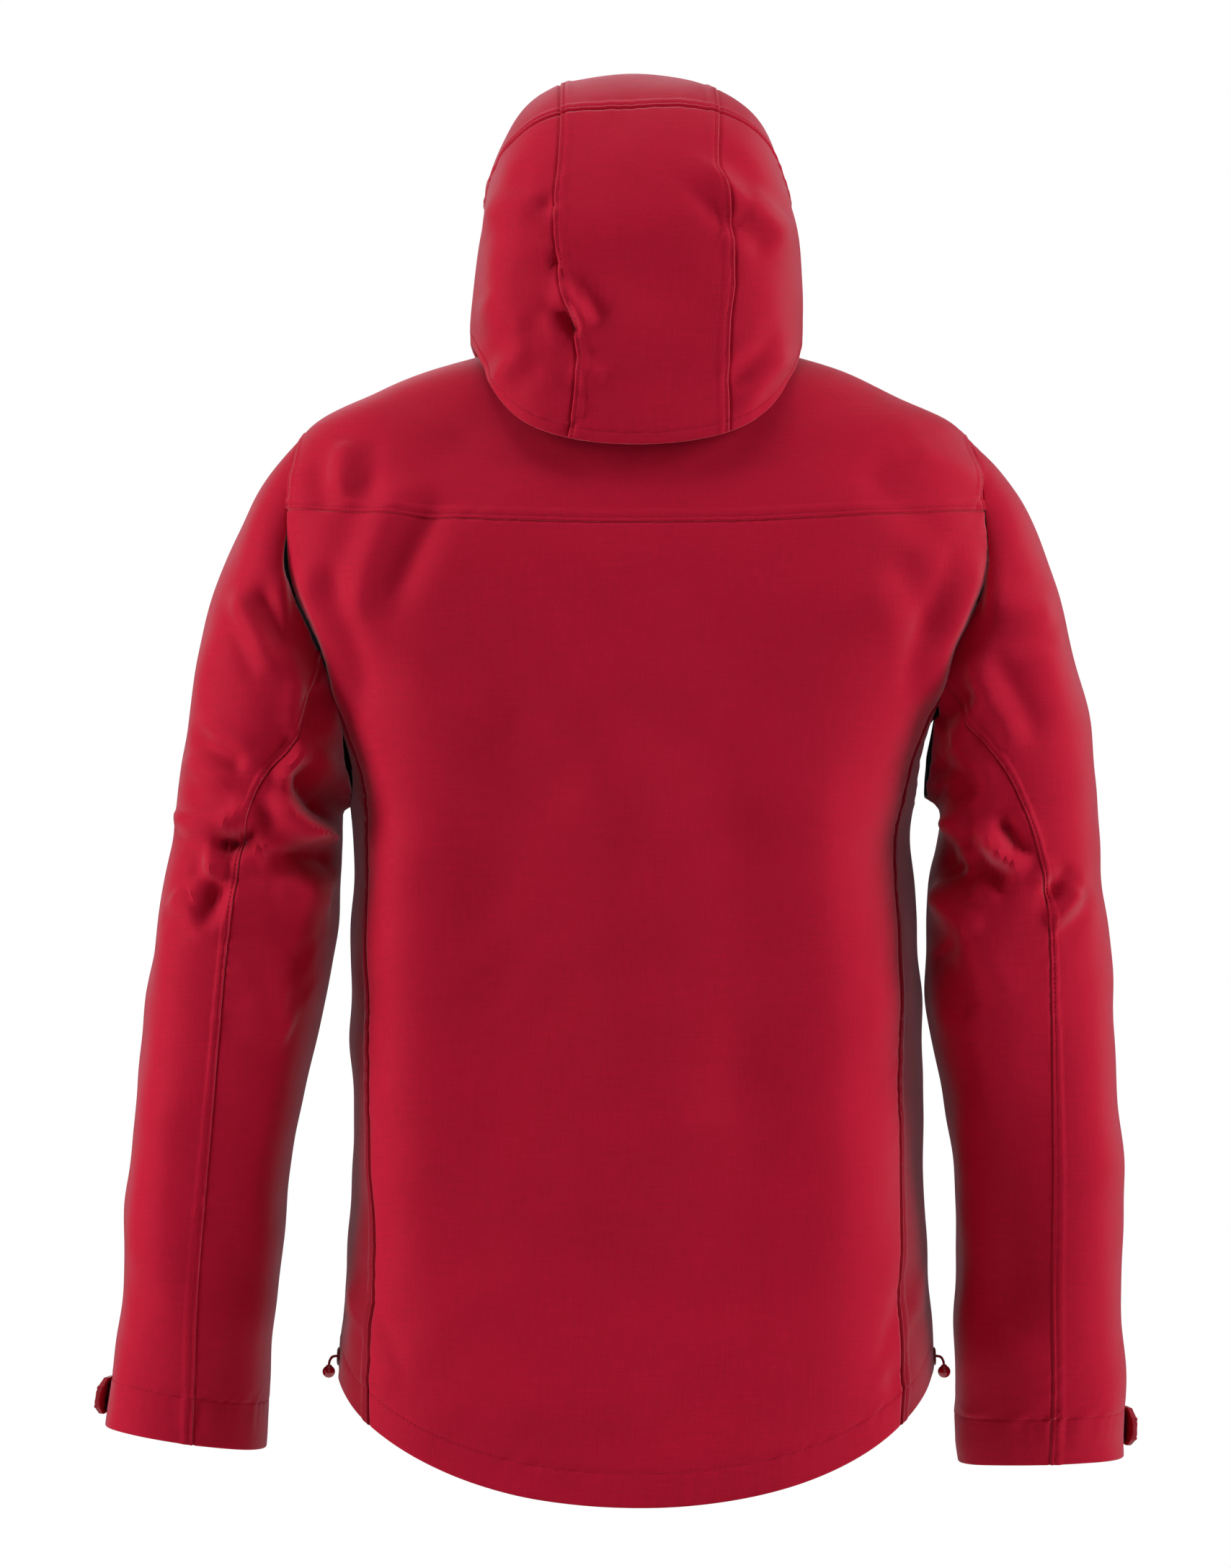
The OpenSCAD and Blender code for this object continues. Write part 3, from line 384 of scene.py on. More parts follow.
# half width, back y, back z, side z, front z; and how square the ring is
BODY = np.array([
    [208, 30, -back_length / MM, -680, -690], [203, 25, -610, -565, -575], [199, 28, -480, -455, -465],
    [196, 38, -355, -350, -360], [198, 44, -290, -290, -310], [222, 49, -210, -210, -250],
    [258, 49, -145, -145, -200], [252, 42, -92, -88, -155], [230, 27, -52, -36, -118],
    [185, 15, -28, -12, -92], [145, 6, -12, 6, -72], [96, 0, 0, 20, -55]]) * MM
BODY_SQUARE = np.array([45, 45, 45, 45, 45, 45, 45, 45, 40, 35, 30, 25]) * MM
COLLAR = np.array([[96, 0, 0, 20, -55], [93, -2, 30, 52, -12], [90, -4, 60, 78, 30]]) * MM
COLLAR_SQUARE = np.array([25, 25, 25]) * MM
print("back length", round(back_length, 3), "zip slope", round(zip_slope, 4))


# %% Turn stations into the body surface
def spline(a, b, c, d, t):
    return (2 * b + (c - a) * t + (2 * a - 5 * b + 4 * c - d) * t ** 2 + (3 * b - a - 3 * c + d) * t ** 3) / 2


def along(table, u):
    table, u = np.asarray(table, float), np.asarray(u, float)
    last = len(table) - 1
    i = np.clip(np.floor(u).astype(int), 0, last - 1)
    t = u - i
    if table.ndim > 1:
        t = t[..., None]
    return spline(table[np.maximum(i - 1, 0)], table[i], table[i + 1], table[np.minimum(i + 2, last)], t)


def sin(a):
    return np.sin(np.radians(a))


def cos(a):
    return np.cos(np.radians(a))


def across(a, square):
    return (sin(a) + square * sin(3 * a)) / (1 - square)


def fore(a, square):
    return (cos(a) - square * cos(3 * a)) / (1 - square)


def ring(station, square, a):
    half, back_y, back_z, side_z, front_z = (station[..., k] for k in range(5))
    front_y = -chin_out - (chin_z - front_z) * zip_slope
    middle = (back_z + front_z) / 2
    return np.stack([half * across(a, square),
                     (back_y + front_y) / 2 - (back_y - front_y) / 2 * fore(a, square),
                     middle - (back_z - front_z) / 2 * cos(a) + (side_z - middle) * sin(a) ** 2], -1)


def body(a, u):
    return ring(along(BODY, u), along(BODY_SQUARE, u), a)


def collar(a, u):
    return ring(along(COLLAR, u), along(COLLAR_SQUARE, u), a)


ARMHOLE_TURN, ARMHOLE_U, ARMHOLE_H = 27, 6, 2
SIDE_TURN_HEM, SIDE_TURN_TOP = 34, 23
YOKE_U, NECK_U, SHOULDER_TURN = 6.85, 11, 76


def armhole_edge(u):
    return ARMHOLE_TURN * np.sqrt(np.maximum(0, 1 - ((u - ARMHOLE_U) / ARMHOLE_H) ** 2))


def side_turn(u):
    return SIDE_TURN_HEM + (SIDE_TURN_TOP - SIDE_TURN_HEM) * np.minimum(u, 4) / 4


seam_top_u = ARMHOLE_U - ARMHOLE_H * math.sqrt(1 - (SIDE_TURN_TOP / ARMHOLE_TURN) ** 2)


def edge_turn(u):
    return np.where(u < seam_top_u, side_turn(u), armhole_edge(u))


print("body at the back of the neck:", body(180.0, 11.0).round(3))

# %% Describe the sleeves and the hood
# inner x and z, outer x and z, middle y, half depth; from the shoulder point and the armpit
ARMS = {LEFT: np.array([
    [-25, -6, 38, 207, -66, 76], [-24, -15, 66, 130, -67, 80], [-24, -32, 84, 36, -69, 80],
    [-23, -62, 97, -55, -71, 78], [-12, -140, 108, -128, -73, 72], [5, -235, 118, -222, -78, 65],
    [20, -335, 128, -322, -88, 58], [28, -402, 138, -388, -96, 52], [32, -452, 143, -436, -102, 47]]) * MM,
    RIGHT: np.array([
        [-25, -6, 40, 207, -66, 76], [-24, -15, 68, 130, -67, 80], [-26, -32, 84, 36, -69, 80],
        [-29, -62, 94, -58, -71, 78], [-27, -145, 100, -140, -73, 72], [-12, -238, 106, -232, -78, 65],
        [-9, -335, 108, -332, -88, 58], [-7, -410, 109, -408, -96, 52], [-4, -462, 109, -458, -102, 47]]) * MM}
SHOULDER_X, ARMPIT_Z, CUFF_U = 0.230, -0.290, 9
# back y, back z, half width, side y, side z, face edge x, y, z; and how round the drop to the side is
HOOD = np.array([
    [44, -47, 114, -62, 27, 40, -177, -28], [45, 10, 114, -66, 42, 42, -182, 12],
    [46, 62, 113, -72, 70, 50, -189, 46], [40, 117, 111, -80, 96, 63, -195, 78],
    [20, 162, 107, -90, 118, 74, -198, 103], [-20, 200, 105, -105, 134, 80, -200, 122],
    [-76, 217, 103, -128, 145, 85, -201, 136], [-142, 209, 100, -160, 152, 87, -202, 146],
    [-206, 183, 95, -190, 156, 89, -203, 153]]) * MM
HOOD_ROUND = np.array([2, 1.6, 1.2, 1.2, 1.6, 2.1, 2.4, 2.4, 2])
CROWN_U, BRIM_U, SIDE_S = 4.65, 8, 0.62


def armhole(side, turn):
    p = body(90 - ARMHOLE_TURN * sin(turn), ARMHOLE_U + ARMHOLE_H * cos(turn))
    return p * np.array([side, 1, 1])


def arm_ring(side, st, turn):
    inner, outer, c = SHOULDER_X + st[0], SHOULDER_X + st[2], fore(turn, 0.03)
    return np.stack([side * ((inner + outer) / 2 + (outer - inner) / 2 * c),
                     st[4] - st[5] * across(turn, 0.03),
                     ARMPIT_Z + (st[1] + st[3]) / 2 + (st[3] - st[1]) / 2 * c], -1)


def sleeve(side):
    def surface(a, u):
        a, u = np.broadcast_arrays(np.asarray(a, float), np.asarray(u, float))
        turn = side * a
        rings = np.stack([armhole(side, turn)] + [arm_ring(side, st, turn) for st in ARMS[side]], -2)
        last = rings.shape[-2] - 1
        i = np.clip(np.floor(u).astype(int), 0, last - 1)
        pick = lambda k: np.take_along_axis(rings, np.clip(k, 0, last)[..., None, None], -2)[..., 0, :]
        return spline(pick(i - 1), pick(i), pick(i + 1), pick(i + 2), (u - i)[..., None])
    return surface


def hood(s, u):
    s, u = np.broadcast_arrays(np.asarray(s, float), np.asarray(u, float))
    h, q = along(HOOD, u), np.abs(s)
    back = 90 * np.minimum(1, q / SIDE_S)
    front = 90 * np.maximum(0, (q - SIDE_S) / (1 - SIDE_S))
    g, mix = fore(back, 0.06), lambda a, b, t: a + (b - a) * t
    x = np.where(q < SIDE_S, h[..., 2] * across(back, 0.06), mix(h[..., 5], h[..., 2], cos(front)))
    y = mix(mix(h[..., 3], h[..., 0], g), h[..., 6], sin(front))
    drop = np.maximum(0, g) ** along(HOOD_ROUND, u)
    z = mix(mix(h[..., 4], h[..., 1], drop), h[..., 7], np.maximum(0, sin(front)) ** 1.7)
    return np.stack([-np.sign(s) * x, y, z], -1)


print("hood top:", hood(0.0, 6.0).round(3), "left cuff:", sleeve(LEFT)(0.0, 9.0).round(3))

# %% [markdown]
# Real shell cloth is stiff and light: it stays smooth where it is filled out, and breaks into short sharp creases
# where a sleeve bends or a panel is pushed together. A simulation could find such creases, but not where this
# jacket has them. So each crease is given as a path seen from the back or the front, with a height and a width,
# and raises or sinks the cloth beside it. Broad, shallow waves on every surface keep the rest from looking
# pressed.

# %% Make the tools that lay creases
def smooth(x):
    x = np.clip(x, 0, 1)
    return x * x * (3 - 2 * x)


def near_path(x, z, path):
    best, side, share = np.full(x.shape, 9.0), np.zeros(x.shape), np.zeros(x.shape)
    steps = np.linalg.norm(np.diff(path, axis=0), axis=1)
    start = np.concatenate([[0], np.cumsum(steps)])
    for (x0, z0), (x1, z1), length, begun in zip(path[:-1], path[1:], steps, start):
        dx, dz = (x1 - x0) / length, (z1 - z0) / length
        t = np.clip((x - x0) * dx + (z - z0) * dz, 0, length)
        off_x, off_z = x - x0 - t * dx, z - z0 - t * dz
        away = np.hypot(off_x, off_z)
        closer = away < best
        best = np.where(closer, away, best)
        side = np.where(closer, np.sign(dx * off_z - dz * off_x), side)
        share = np.where(closer, (begun + t) / start[-1], share)
    return best, side, share


def rounded_path(points, turns=3):
    points = np.array(points, float) * MM
    for _ in range(turns if len(points) > 2 else 0):
        cut = [points[0]]
        for a, b in zip(points[:-1], points[1:]):
            cut += [a * 0.75 + b * 0.25, a * 0.25 + b * 0.75]
        points = np.array(cut + [points[-1]])
    return points


class Crease:
    """A ridge (or a valley, with a height below 0) along a path, steeper on one side when lean isn't 0."""

    def __init__(self, points, height, width, lean=0.0, start=0.25, end=0.25, facing=1):
        self.path, self.height, self.width = rounded_path(points), height * MM, width * MM
        self.lean, self.start, self.end, self.facing = lean, start, end, facing

    def raised(self, p, n):
        away, side, share = near_path(p[..., 0], p[..., 2], self.path)
        width = self.width * (1 + self.lean * side)
        ridge = np.exp(-(away / width) ** 1.7)
        hollow = 0.45 * np.exp(-((away - 1.9 * self.width) / (0.9 * self.width)) ** 2)
        fade = smooth(share / self.start) * smooth((1 - share) / self.end)
        shown = smooth(n[..., 1] * self.facing / 0.35)
        return 1.4 * self.height * (ridge - hollow) * fade * shown


class Bump:
    """A broad rounded swelling, or a hollow with a height below 0, around one point."""

    def __init__(self, x, z, height, wide, tall, facing=1):
        self.x, self.z, self.height, self.wide, self.tall = x * MM, z * MM, height * MM, wide * MM, tall * MM
        self.facing = facing

    def raised(self, p, n):
        r = ((p[..., 0] - self.x) / self.wide) ** 2 + ((p[..., 2] - self.z) / self.tall) ** 2
        return self.height * np.exp(-r) * smooth(n[..., 1] * self.facing / 0.35)


dice = np.random.RandomState(11)
WAVES = []
for length, height in ((0.21, 0.0016), (0.13, 0.0010), (0.075, 0.0005), (0.043, 0.00022)):
    for _ in range(5):
        aim = dice.normal(size=3)
        WAVES.append((aim / np.linalg.norm(aim) * math.tau / length, dice.uniform(0, math.tau), height))


def waves(p, n):
    bend = np.stack([np.sin(p[..., 2] * 19 + 1), np.sin(p[..., 0] * 23 + 2),
                     np.sin(p[..., 1] * 17)], -1) * 0.012
    total = np.zeros(p.shape[:-1])
    for aim, phase, height in WAVES:
        total = total + height * np.sin((p + bend) @ aim + phase)
    return total * 0.6


print("waves:", len(WAVES))

# %% [markdown]
# The creases of this jacket, in millimetres seen from behind: x to the wearer's left, z up from the
# nape. The sleeves break in sharp V shapes at the elbow seam and in pinched ridges on the inner side;
# the left shoulder has slanting tension folds; the back panel hangs in long shallow flutes. The front
# isn't seen, so it gets calm folds of the same kind.

# %% List the creases of the body
BODY_CREASES = [
    Crease([(198, -40), (197, -60), (201, -82)], 3.0, 9, 0.3),
    Crease([(222, -52), (214, -74), (212, -96)], -2.2, 8),
    Crease([(148, -62), (170, -100), (187, -150), (194, -178)], 3.2, 12, 0.3),
    Crease([(128, -70), (150, -110), (172, -160)], -2.0, 13),
    Crease([(232, -118), (222, -150), (206, -190), (199, -235)], 4.5, 9, -0.3),
    Crease([(-236, -112), (-226, -142), (-207, -185), (-198, -232)], 5.0, 9, 0.3),
    Crease([(-180, -50), (-215, -58), (-250, -72)], 2.4, 12),
    Crease([(-150, -60), (-185, -92), (-215, -106)], -1.8, 12),
    Crease([(-170, -118), (-192, -150), (-200, -190)], -2.2, 12),
    Crease([(90, -150), (86, -330), (98, -560), (110, -660)], -2.2, 34),
    Crease([(20, -200), (14, -400), (24, -620)], 2.2, 40),
    Crease([(-60, -190), (-64, -400), (-70, -640)], -1.8, 34),
    Crease([(-128, -210), (-134, -420), (-140, -650)], 3.0, 30),
    Crease([(158, -260), (164, -450), (160, -640)], 2.6, 26),
    Crease([(205, -612), (190, -650), (176, -680), (168, -700)], 2.6, 7, 0.3),
    Crease([(196, -640), (182, -672), (170, -694)], -2.2, 6),
    Crease([(-206, -600), (-192, -645), (-176, -690)], 2.6, 7, -0.3),
    Crease([(-198, -636), (-186, -668), (-170, -700)], -2.0, 6),
    Bump(-120, -560, 2.0, 60, 30), Bump(60, -700, 1.5, 70, 25), Bump(-70, -690, -1.6, 50, 26),
    Crease([(120, -120), (128, -200), (118, -300)], 2.6, 16, facing=-1),
    Crease([(-126, -110), (-136, -190), (-124, -290)], 2.6, 16, facing=-1),
    Crease([(60, -200), (64, -420), (56, -640)], 2.4, 28, facing=-1),
    Crease([(-66, -220), (-60, -440), (-64, -660)], 2.4, 28, facing=-1),
    Crease([(150, -380), (162, -500), (156, -640)], -2.6, 22, facing=-1),
    Crease([(-154, -400), (-164, -520), (-158, -650)], -2.6, 22, facing=-1),
    Crease([(236, -150), (216, -200), (204, -250)], 4.0, 10, facing=-1),
    Crease([(-236, -150), (-216, -200), (-204, -250)], 4.0, 10, facing=-1)]
print("body creases:", len(BODY_CREASES))

# %% List the creases of the sleeves and the hood
LEFT_ARM_CREASES = [
    Crease([(279, -140), (262, -165), (250, -190), (243, -206)], 3.6, 8, 0.35),
    Crease([(262, -140), (246, -166), (236, -188)], -3.0, 9),
    Bump(262, -232, 3.0, 17, 24),
    Crease([(310, -243), (292, -254), (266, -268)], -4.2, 8, -0.3),
    Crease([(324, -296), (296, -303), (276, -300), (262, -286)], 5.0, 9, 0.4),
    Crease([(293, -316), (282, -320), (266, -318), (258, -306)], -6.0, 7, -0.4),
    Crease([(292, -316), (288, -330), (290, -344)], 3.6, 6, 0.3),
    Crease([(304, -366), (294, -366), (287, -352), (284, -340)], -4.0, 7, 0.3),
    Crease([(318, -352), (304, -360), (292, -372)], 3.0, 9),
    Crease([(247, -282), (236, -298), (222, -308), (198, -320)], 6.5, 8, 0.4, end=0.1),
    Crease([(236, -266), (220, -284), (204, -302)], -7.0, 10, -0.3, end=0.1),
    Crease([(262, -322), (244, -328), (222, -326), (200, -320)], -6.5, 9, 0.3, end=0.1),
    Crease([(224, -248), (234, -262), (245, -280)], 4.5, 7, -0.3),
    Crease([(216, -208), (222, -224), (224, -246)], -3.6, 7),
    Crease([(250, -345), (232, -352), (212, -356)], 3.0, 10, end=0.1),
    Crease([(264, -360), (244, -392), (226, -400)], -2.6, 14, end=0.1),
    Crease([(268, -420), (250, -440), (236, -446)], 2.4, 14, end=0.1),
    Crease([(330, -470), (322, -560), (330, -640)], 2.0, 20),
    Crease([(285, -560), (276, -640), (284, -700)], -2.0, 18),
    Bump(330, -210, 2.4, 26, 50), Bump(318, -395, 2.0, 20, 36)]
RIGHT_ARM_CREASES = [
    Crease([(-222, -186), (-236, -210), (-252, -236), (-256, -262)], 3.4, 9, -0.3),
    Crease([(-236, -150), (-262, -160), (-290, -158)], 2.4, 11),
    Crease([(-228, -208), (-216, -226), (-204, -234)], -3.6, 9, end=0.1),
    Crease([(-270, -178), (-284, -206), (-286, -240)], 2.6, 16),
    Crease([(-230, -300), (-242, -316), (-252, -330), (-268, -340)], 5.0, 8, -0.3),
    Crease([(-226, -322), (-240, -336), (-258, -346)], -5.6, 8),
    Crease([(-247, -300), (-256, -314), (-262, -330)], -3.6, 7),
    Crease([(-278, -372), (-292, -362), (-300, -345)], 4.0, 7, 0.3),
    Crease([(-276, -356), (-288, -346), (-296, -330)], -3.0, 7),
    Crease([(-196, -296), (-212, -304), (-230, -300)], 5.0, 8, start=0.1),
    Crease([(-196, -322), (-214, -334), (-236, -350)], -6.0, 10, start=0.1),
    Crease([(-198, -352), (-216, -362), (-238, -380)], 4.0, 10, start=0.1),
    Crease([(-204, -392), (-222, -412), (-236, -440)], -3.2, 13, start=0.1),
    Crease([(-204, -262), (-220, -272), (-232, -290)], -3.2, 8, start=0.1),
    Crease([(-310, -420), (-316, -520), (-312, -640)], 2.0, 20),
    Crease([(-262, -480), (-256, -580), (-262, -680)], -2.2, 18), Bump(-300, -275, 2.4, 24, 46)]
FRONT_ARM_CREASES = [
    Crease([(side * x0, z0), (side * x1, z1), (side * x2, z2)], high, wide, facing=-1)
    for side in (LEFT, RIGHT) for x0, z0, x1, z1, x2, z2, high, wide in (
        (300, -250, 268, -282, 232, -300, 5.0, 10), (312, -300, 272, -322, 236, -330, -5.0, 10),
        (316, -350, 280, -358, 246, -350, 4.5, 10), (290, -180, 262, -212, 240, -236, 3.4, 11),
        (300, -420, 288, -520, 300, -620, 2.4, 18), (250, -380, 262, -420, 268, -470, -3.0, 13))]
HOOD_CREASES = [
    Crease([(54, 66), (47, 52), (38, 38), (33, 27)], 3.6, 7, 0.3),
    Crease([(52, 48), (46, 36), (40, 26)], -5.4, 5.5, -0.3),
    Crease([(57, 121), (66, 112)], -2.4, 5), Crease([(52, 78), (60, 76)], -2.2, 5),
    Crease([(-30, 156), (-53, 136), (-68, 120), (-90, 101), (-108, 90)], 4.2, 9, 0.35, start=0.4),
    Crease([(-66, 112), (-78, 104), (-92, 88)], -4.2, 9, start=0.15),
    Crease([(-66, 106), (-82, 104)], 1.6, 3.5), Crease([(-66, 97), (-80, 94)], 1.4, 3.5),
    Crease([(-64, -24), (-88, 4), (-104, 18)], 2.6, 7), Crease([(-62, -10), (-84, 14), (-98, 30)], -2.0, 7),
    Crease([(44, 10), (36, 2), (20, -4)], 2.0, 7), Crease([(100, -8), (88, 10), (70, 20)], 2.2, 8),
    Crease([(106, 60), (92, 40), (72, 30)], 2.0, 12), Crease([(108, 118), (84, 114), (66, 116)], 2.0, 10),
    Bump(30, 96, 2.0, 30, 26), Bump(-14, 60, -1.6, 30, 18), Bump(-90, 50, 1.6, 16, 26), Bump(84, 92, 1.6, 16, 20)]
print("sleeve and hood creases:", len(LEFT_ARM_CREASES + RIGHT_ARM_CREASES + FRONT_ARM_CREASES + HOOD_CREASES))


# %% Put the creases on their surfaces
class Skin:
    """A smooth surface of the jacket and the creases in its cloth."""

    def __init__(self, surface, creases, step_a, step_b=0.004, calm=1.0, still=(), dents=()):
        self.surface, self.creases, self.step, self.calm = surface, creases, (step_a, step_b), calm
        self.still, self.dents = still, dents

    def normal(self, a, b):
        da, db = self.step
        n = np.cross(self.surface(a + da, b) - self.surface(a - da, b),
                     self.surface(a, b + db) - self.surface(a, b - db))
        return n / np.maximum(np.linalg.norm(n, axis=-1, keepdims=True), 1e-12)

    def fold(self, p, n):
        total = sum((c.raised(p, n) for c in self.creases), waves(p, n)) * self.calm
        for start, end, radius in self.still:
            run = end - start
            share = np.clip(((p - start) @ run) / max(run @ run, 1e-9), 0, 1)[..., None]
            away = np.linalg.norm(p - start - share * run, axis=-1)
            total = total * smooth((away - 0.35 * radius) / radius)
        for point, radius, depth in self.dents:
            total = total - depth * np.exp(-(np.linalg.norm(p - point, axis=-1) / radius) ** 2)
        return total

    def cloth(self, a, b):
        """Where the creased cloth is, and which way it faces."""
        p, n = self.surface(a, b), self.normal(a, b)
        return p + n * self.fold(p, n)[..., None], n


def front_place(side):
    def place(s, t):
        u = NECK_U * t
        top = ARMHOLE_U + ARMHOLE_H
        end = np.where(u < top, 90 - edge_turn(u), 90 + (SHOULDER_TURN - 90) * (u - top) / (NECK_U - top))
        a = FRONT_FROM + (end - FRONT_FROM) * s
        return (a if side == LEFT else 360 - a), u
    return place


# The cloth lies still where a zip or an eyelet is sewn on it, and gives way under a pulled-down puller
FRONT_FROM, POCKET_S, POCKET_LOW, POCKET_HIGH = 2.1, 0.5, 1.15, 2.851
EYELET_TURN, EYELET_U = 96, 0.12
still, dents = [(body(0.0, 0.0), body(0.0, 11.0), 0.03)], []
for side in (LEFT, RIGHT):
    low, high = (body(*front_place(side)(POCKET_S, u / NECK_U)) for u in (POCKET_LOW, POCKET_HIGH))
    eyelet_at = body(EYELET_TURN if side == LEFT else 360 - EYELET_TURN, EYELET_U)
    still += [(low, high, 0.03), (eyelet_at, eyelet_at, 0.016)]
    dents.append((low - np.array([0, 0, 0.008]), 0.013, 0.0014))
BODY_SKIN = Skin(body, BODY_CREASES, 0.2, still=still, dents=dents)
COLLAR_SKIN = Skin(collar, [], 0.2, calm=0.35)
SLEEVES = {LEFT: Skin(sleeve(LEFT), LEFT_ARM_CREASES + FRONT_ARM_CREASES, 0.2),
           RIGHT: Skin(sleeve(RIGHT), RIGHT_ARM_CREASES + FRONT_ARM_CREASES, 0.2)}
HOOD_SKIN = Skin(hood, HOOD_CREASES, 0.001)
print("surfaces with creases:", 5)

# %% [markdown]
# Every sewn panel is made the same way: a grid of points on its surface, a second skin behind it for
# the cloth's thickness, and a shape for each of its four edges. A turned edge is folded back and nearly
# twice as thick; a lapped edge is raised where the layers lie on each other; a joined edge dips
# into its seam. Rows close to an edge keep their true distance from it, so a stitch line stays
# parallel to its hem. Cloth beside a seam is pulled into small puckers.

# %% Shape the edges of a panel
CLOTH = 0.0007


class Edge:
    """How a panel ends: plain, joined, lapped or turned, with stitch lines at these distances."""

    def __init__(self, kind, stitched=(), pucker=0.0003):
        self.kind, self.stitched, self.pucker = kind, stitched, pucker

    def rows(self):
        near = {"plain": [0], "joined": [0, .0005, .0011, .0019, .0034],
                "lapped": [0, .0003, .0009, .0017, .0034, .0066, .0084, .0105],
                "turned": [0, .0003, .0009, .0017, .003]}[self.kind]
        lines = [line + d for line in self.stitched for d in (-.0022, -.001, 0, .001, .0022)]
        far = [0.006, 0.010, 0.015] if self.pucker and self.kind != "plain" else []
        return sorted(set(d for d in near + lines + far if d >= 0))

    def outer(self, d, phase):
        off = np.zeros(d.shape)
        if self.kind == "joined":
            off -= 0.0011 * (1 - smooth(d / 0.0021))
        if self.kind == "lapped":
            off += 0.0008 * (1 - smooth((d - 0.0066) / 0.0022)) - 0.0011 * (1 - smooth(d / 0.0009))
        if self.kind == "turned":
            round_in = np.clip(1 - d / 0.0012, 0, 1)
            off += 0.0003 - 0.0012 * (1 - np.sqrt(np.maximum(0, 1 - round_in ** 2)))
        for line in self.stitched:
            off -= 0.00045 * np.exp(-((d - line) / 0.0009) ** 2)
        if self.pucker and self.kind != "plain":
            centre = self.stitched[0] if self.stitched else 0.001
            wrinkle = np.sin(phase * 560 + 2.2 * np.sin(phase * 131)) + 0.6 * np.sin(phase * 317 + 1)
            strength = 0.55 + 0.45 * np.sin(phase * 37 + 0.7)
            off += self.pucker * wrinkle * strength * np.exp(-((d - centre) / 0.0085) ** 2)
        return off

    def inner(self, d):
        deep = {"turned": 0.0009, "lapped": 0.0004}.get(self.kind, 0.0)
        width = 0.0012 if self.kind == "turned" else 0.008
        return -deep * (1 - smooth((d - width) / 0.004)) if deep else np.zeros(d.shape)


PLAIN, JOINED = Edge("plain"), Edge("joined")
print("cloth thickness", CLOTH)


# %% Cut a panel and give it its two skins
def rows_for(length, low, high, step):
    """Distances from the low edge for one panel, with the rows that each edge asks for."""
    first, last = low.rows(), high.rows()
    middle = length - last[-1] - first[-1]
    count = max(2, int(round(middle / step)))
    return first, last, np.linspace(0, 1, count + 1)[1:-1]


def true_shares(lengths, rows):
    """Shares at which rows lie, for lines whose running length is given at even shares."""
    first, last, between = rows
    total = lengths[-1]
    begin, finish = min(first[-1], total * 0.45), total - min(last[-1], total * 0.45)
    low_scale, high_scale = begin / max(first[-1], 1e-9), (total - finish) / max(last[-1], 1e-9)
    wanted = np.concatenate([np.array(first) * low_scale, begin + (finish - begin) * between,
                             total - np.array(last[::-1]) * high_scale])
    return np.interp(wanted, lengths, np.linspace(0, 1, len(lengths)))


def running(points):
    steps = np.linalg.norm(np.diff(points, axis=0), axis=-1)
    return np.concatenate([np.zeros((1,) + steps.shape[1:]), np.cumsum(steps, axis=0)])


def share_grid(skin, place, edges, step):
    """Shares across and along, so that rows and columns near the edges keep their distance."""
    left, right, low, high = edges
    even = np.linspace(0, 1, 61)
    s, t = np.meshgrid(even, even)
    lengths_t = running(skin.surface(*place(s, t)))
    lengths_s = running(np.swapaxes(skin.surface(*place(s, t)), 0, 1))
    rows = rows_for(lengths_t[-1].mean(), low, high, step)
    columns = rows_for(lengths_s[-1].mean(), left, right, step)
    t_lines = np.array([true_shares(lengths_t[:, j], rows) for j in range(61)])
    s_lines = np.array([true_shares(lengths_s[:, i], columns) for i in range(61)])
    rest_t, rest_s = t_lines.mean(0), s_lines.mean(0)
    s_grid = np.stack([np.interp(rest_t, even, s_lines[:, k]) for k in range(len(rest_s))], 1)
    t_grid = np.stack([np.interp(rest_s, even, t_lines[:, k]) for k in range(len(rest_t))], 0)
    return s_grid, t_grid


class Panel:
    """A sewn panel: its object, its outer skin, and the lines along which it is stitched."""

    def __init__(self, name, obj, skin, normals, lines, flat, area):
        self.name, self.obj, self.skin, self.normals = name, obj, skin, normals
        self.lines, self.flat, self.area = lines, flat, area


def grid_faces(rows, columns, start, flip, hole=None):
    i, j = np.meshgrid(np.arange(rows - 1), np.arange(columns - 1), indexing="ij")
    keep = np.ones(i.shape, bool)
    if hole:
        keep[hole[2]:hole[3], hole[0]:hole[1]] = False
    i, j = i[keep], j[keep]
    a = start + i * columns + j
    quads = np.stack([a, a + 1, a + columns + 1, a + columns], 1)
    return quads[:, [0, 3, 2, 1]] if flip else quads


def rim_faces(path, shift, flip):
    a, b = np.array(path[:-1]), np.array(path[1:])
    quads = np.stack([a, a + shift, b + shift, b], 1)
    return quads[:, ::-1] if flip else quads


def mesh_object(name, points, faces, slots, materials, sharp=40):
    mesh = bpy.data.meshes.new(name)
    mesh.from_pydata(points.reshape(-1, 3).tolist(), [], faces.tolist())
    mesh.polygons.foreach_set("use_smooth", np.ones(len(faces), bool))
    for material in materials:
        mesh.materials.append(material)
    mesh.polygons.foreach_set("material_index", np.asarray(slots, dtype=np.int32))
    mesh.update()
    mesh.set_sharp_from_angle(angle=math.radians(sharp))
    obj = bpy.data.objects.new(name, mesh)
    bpy.context.scene.collection.objects.link(obj)
    return obj


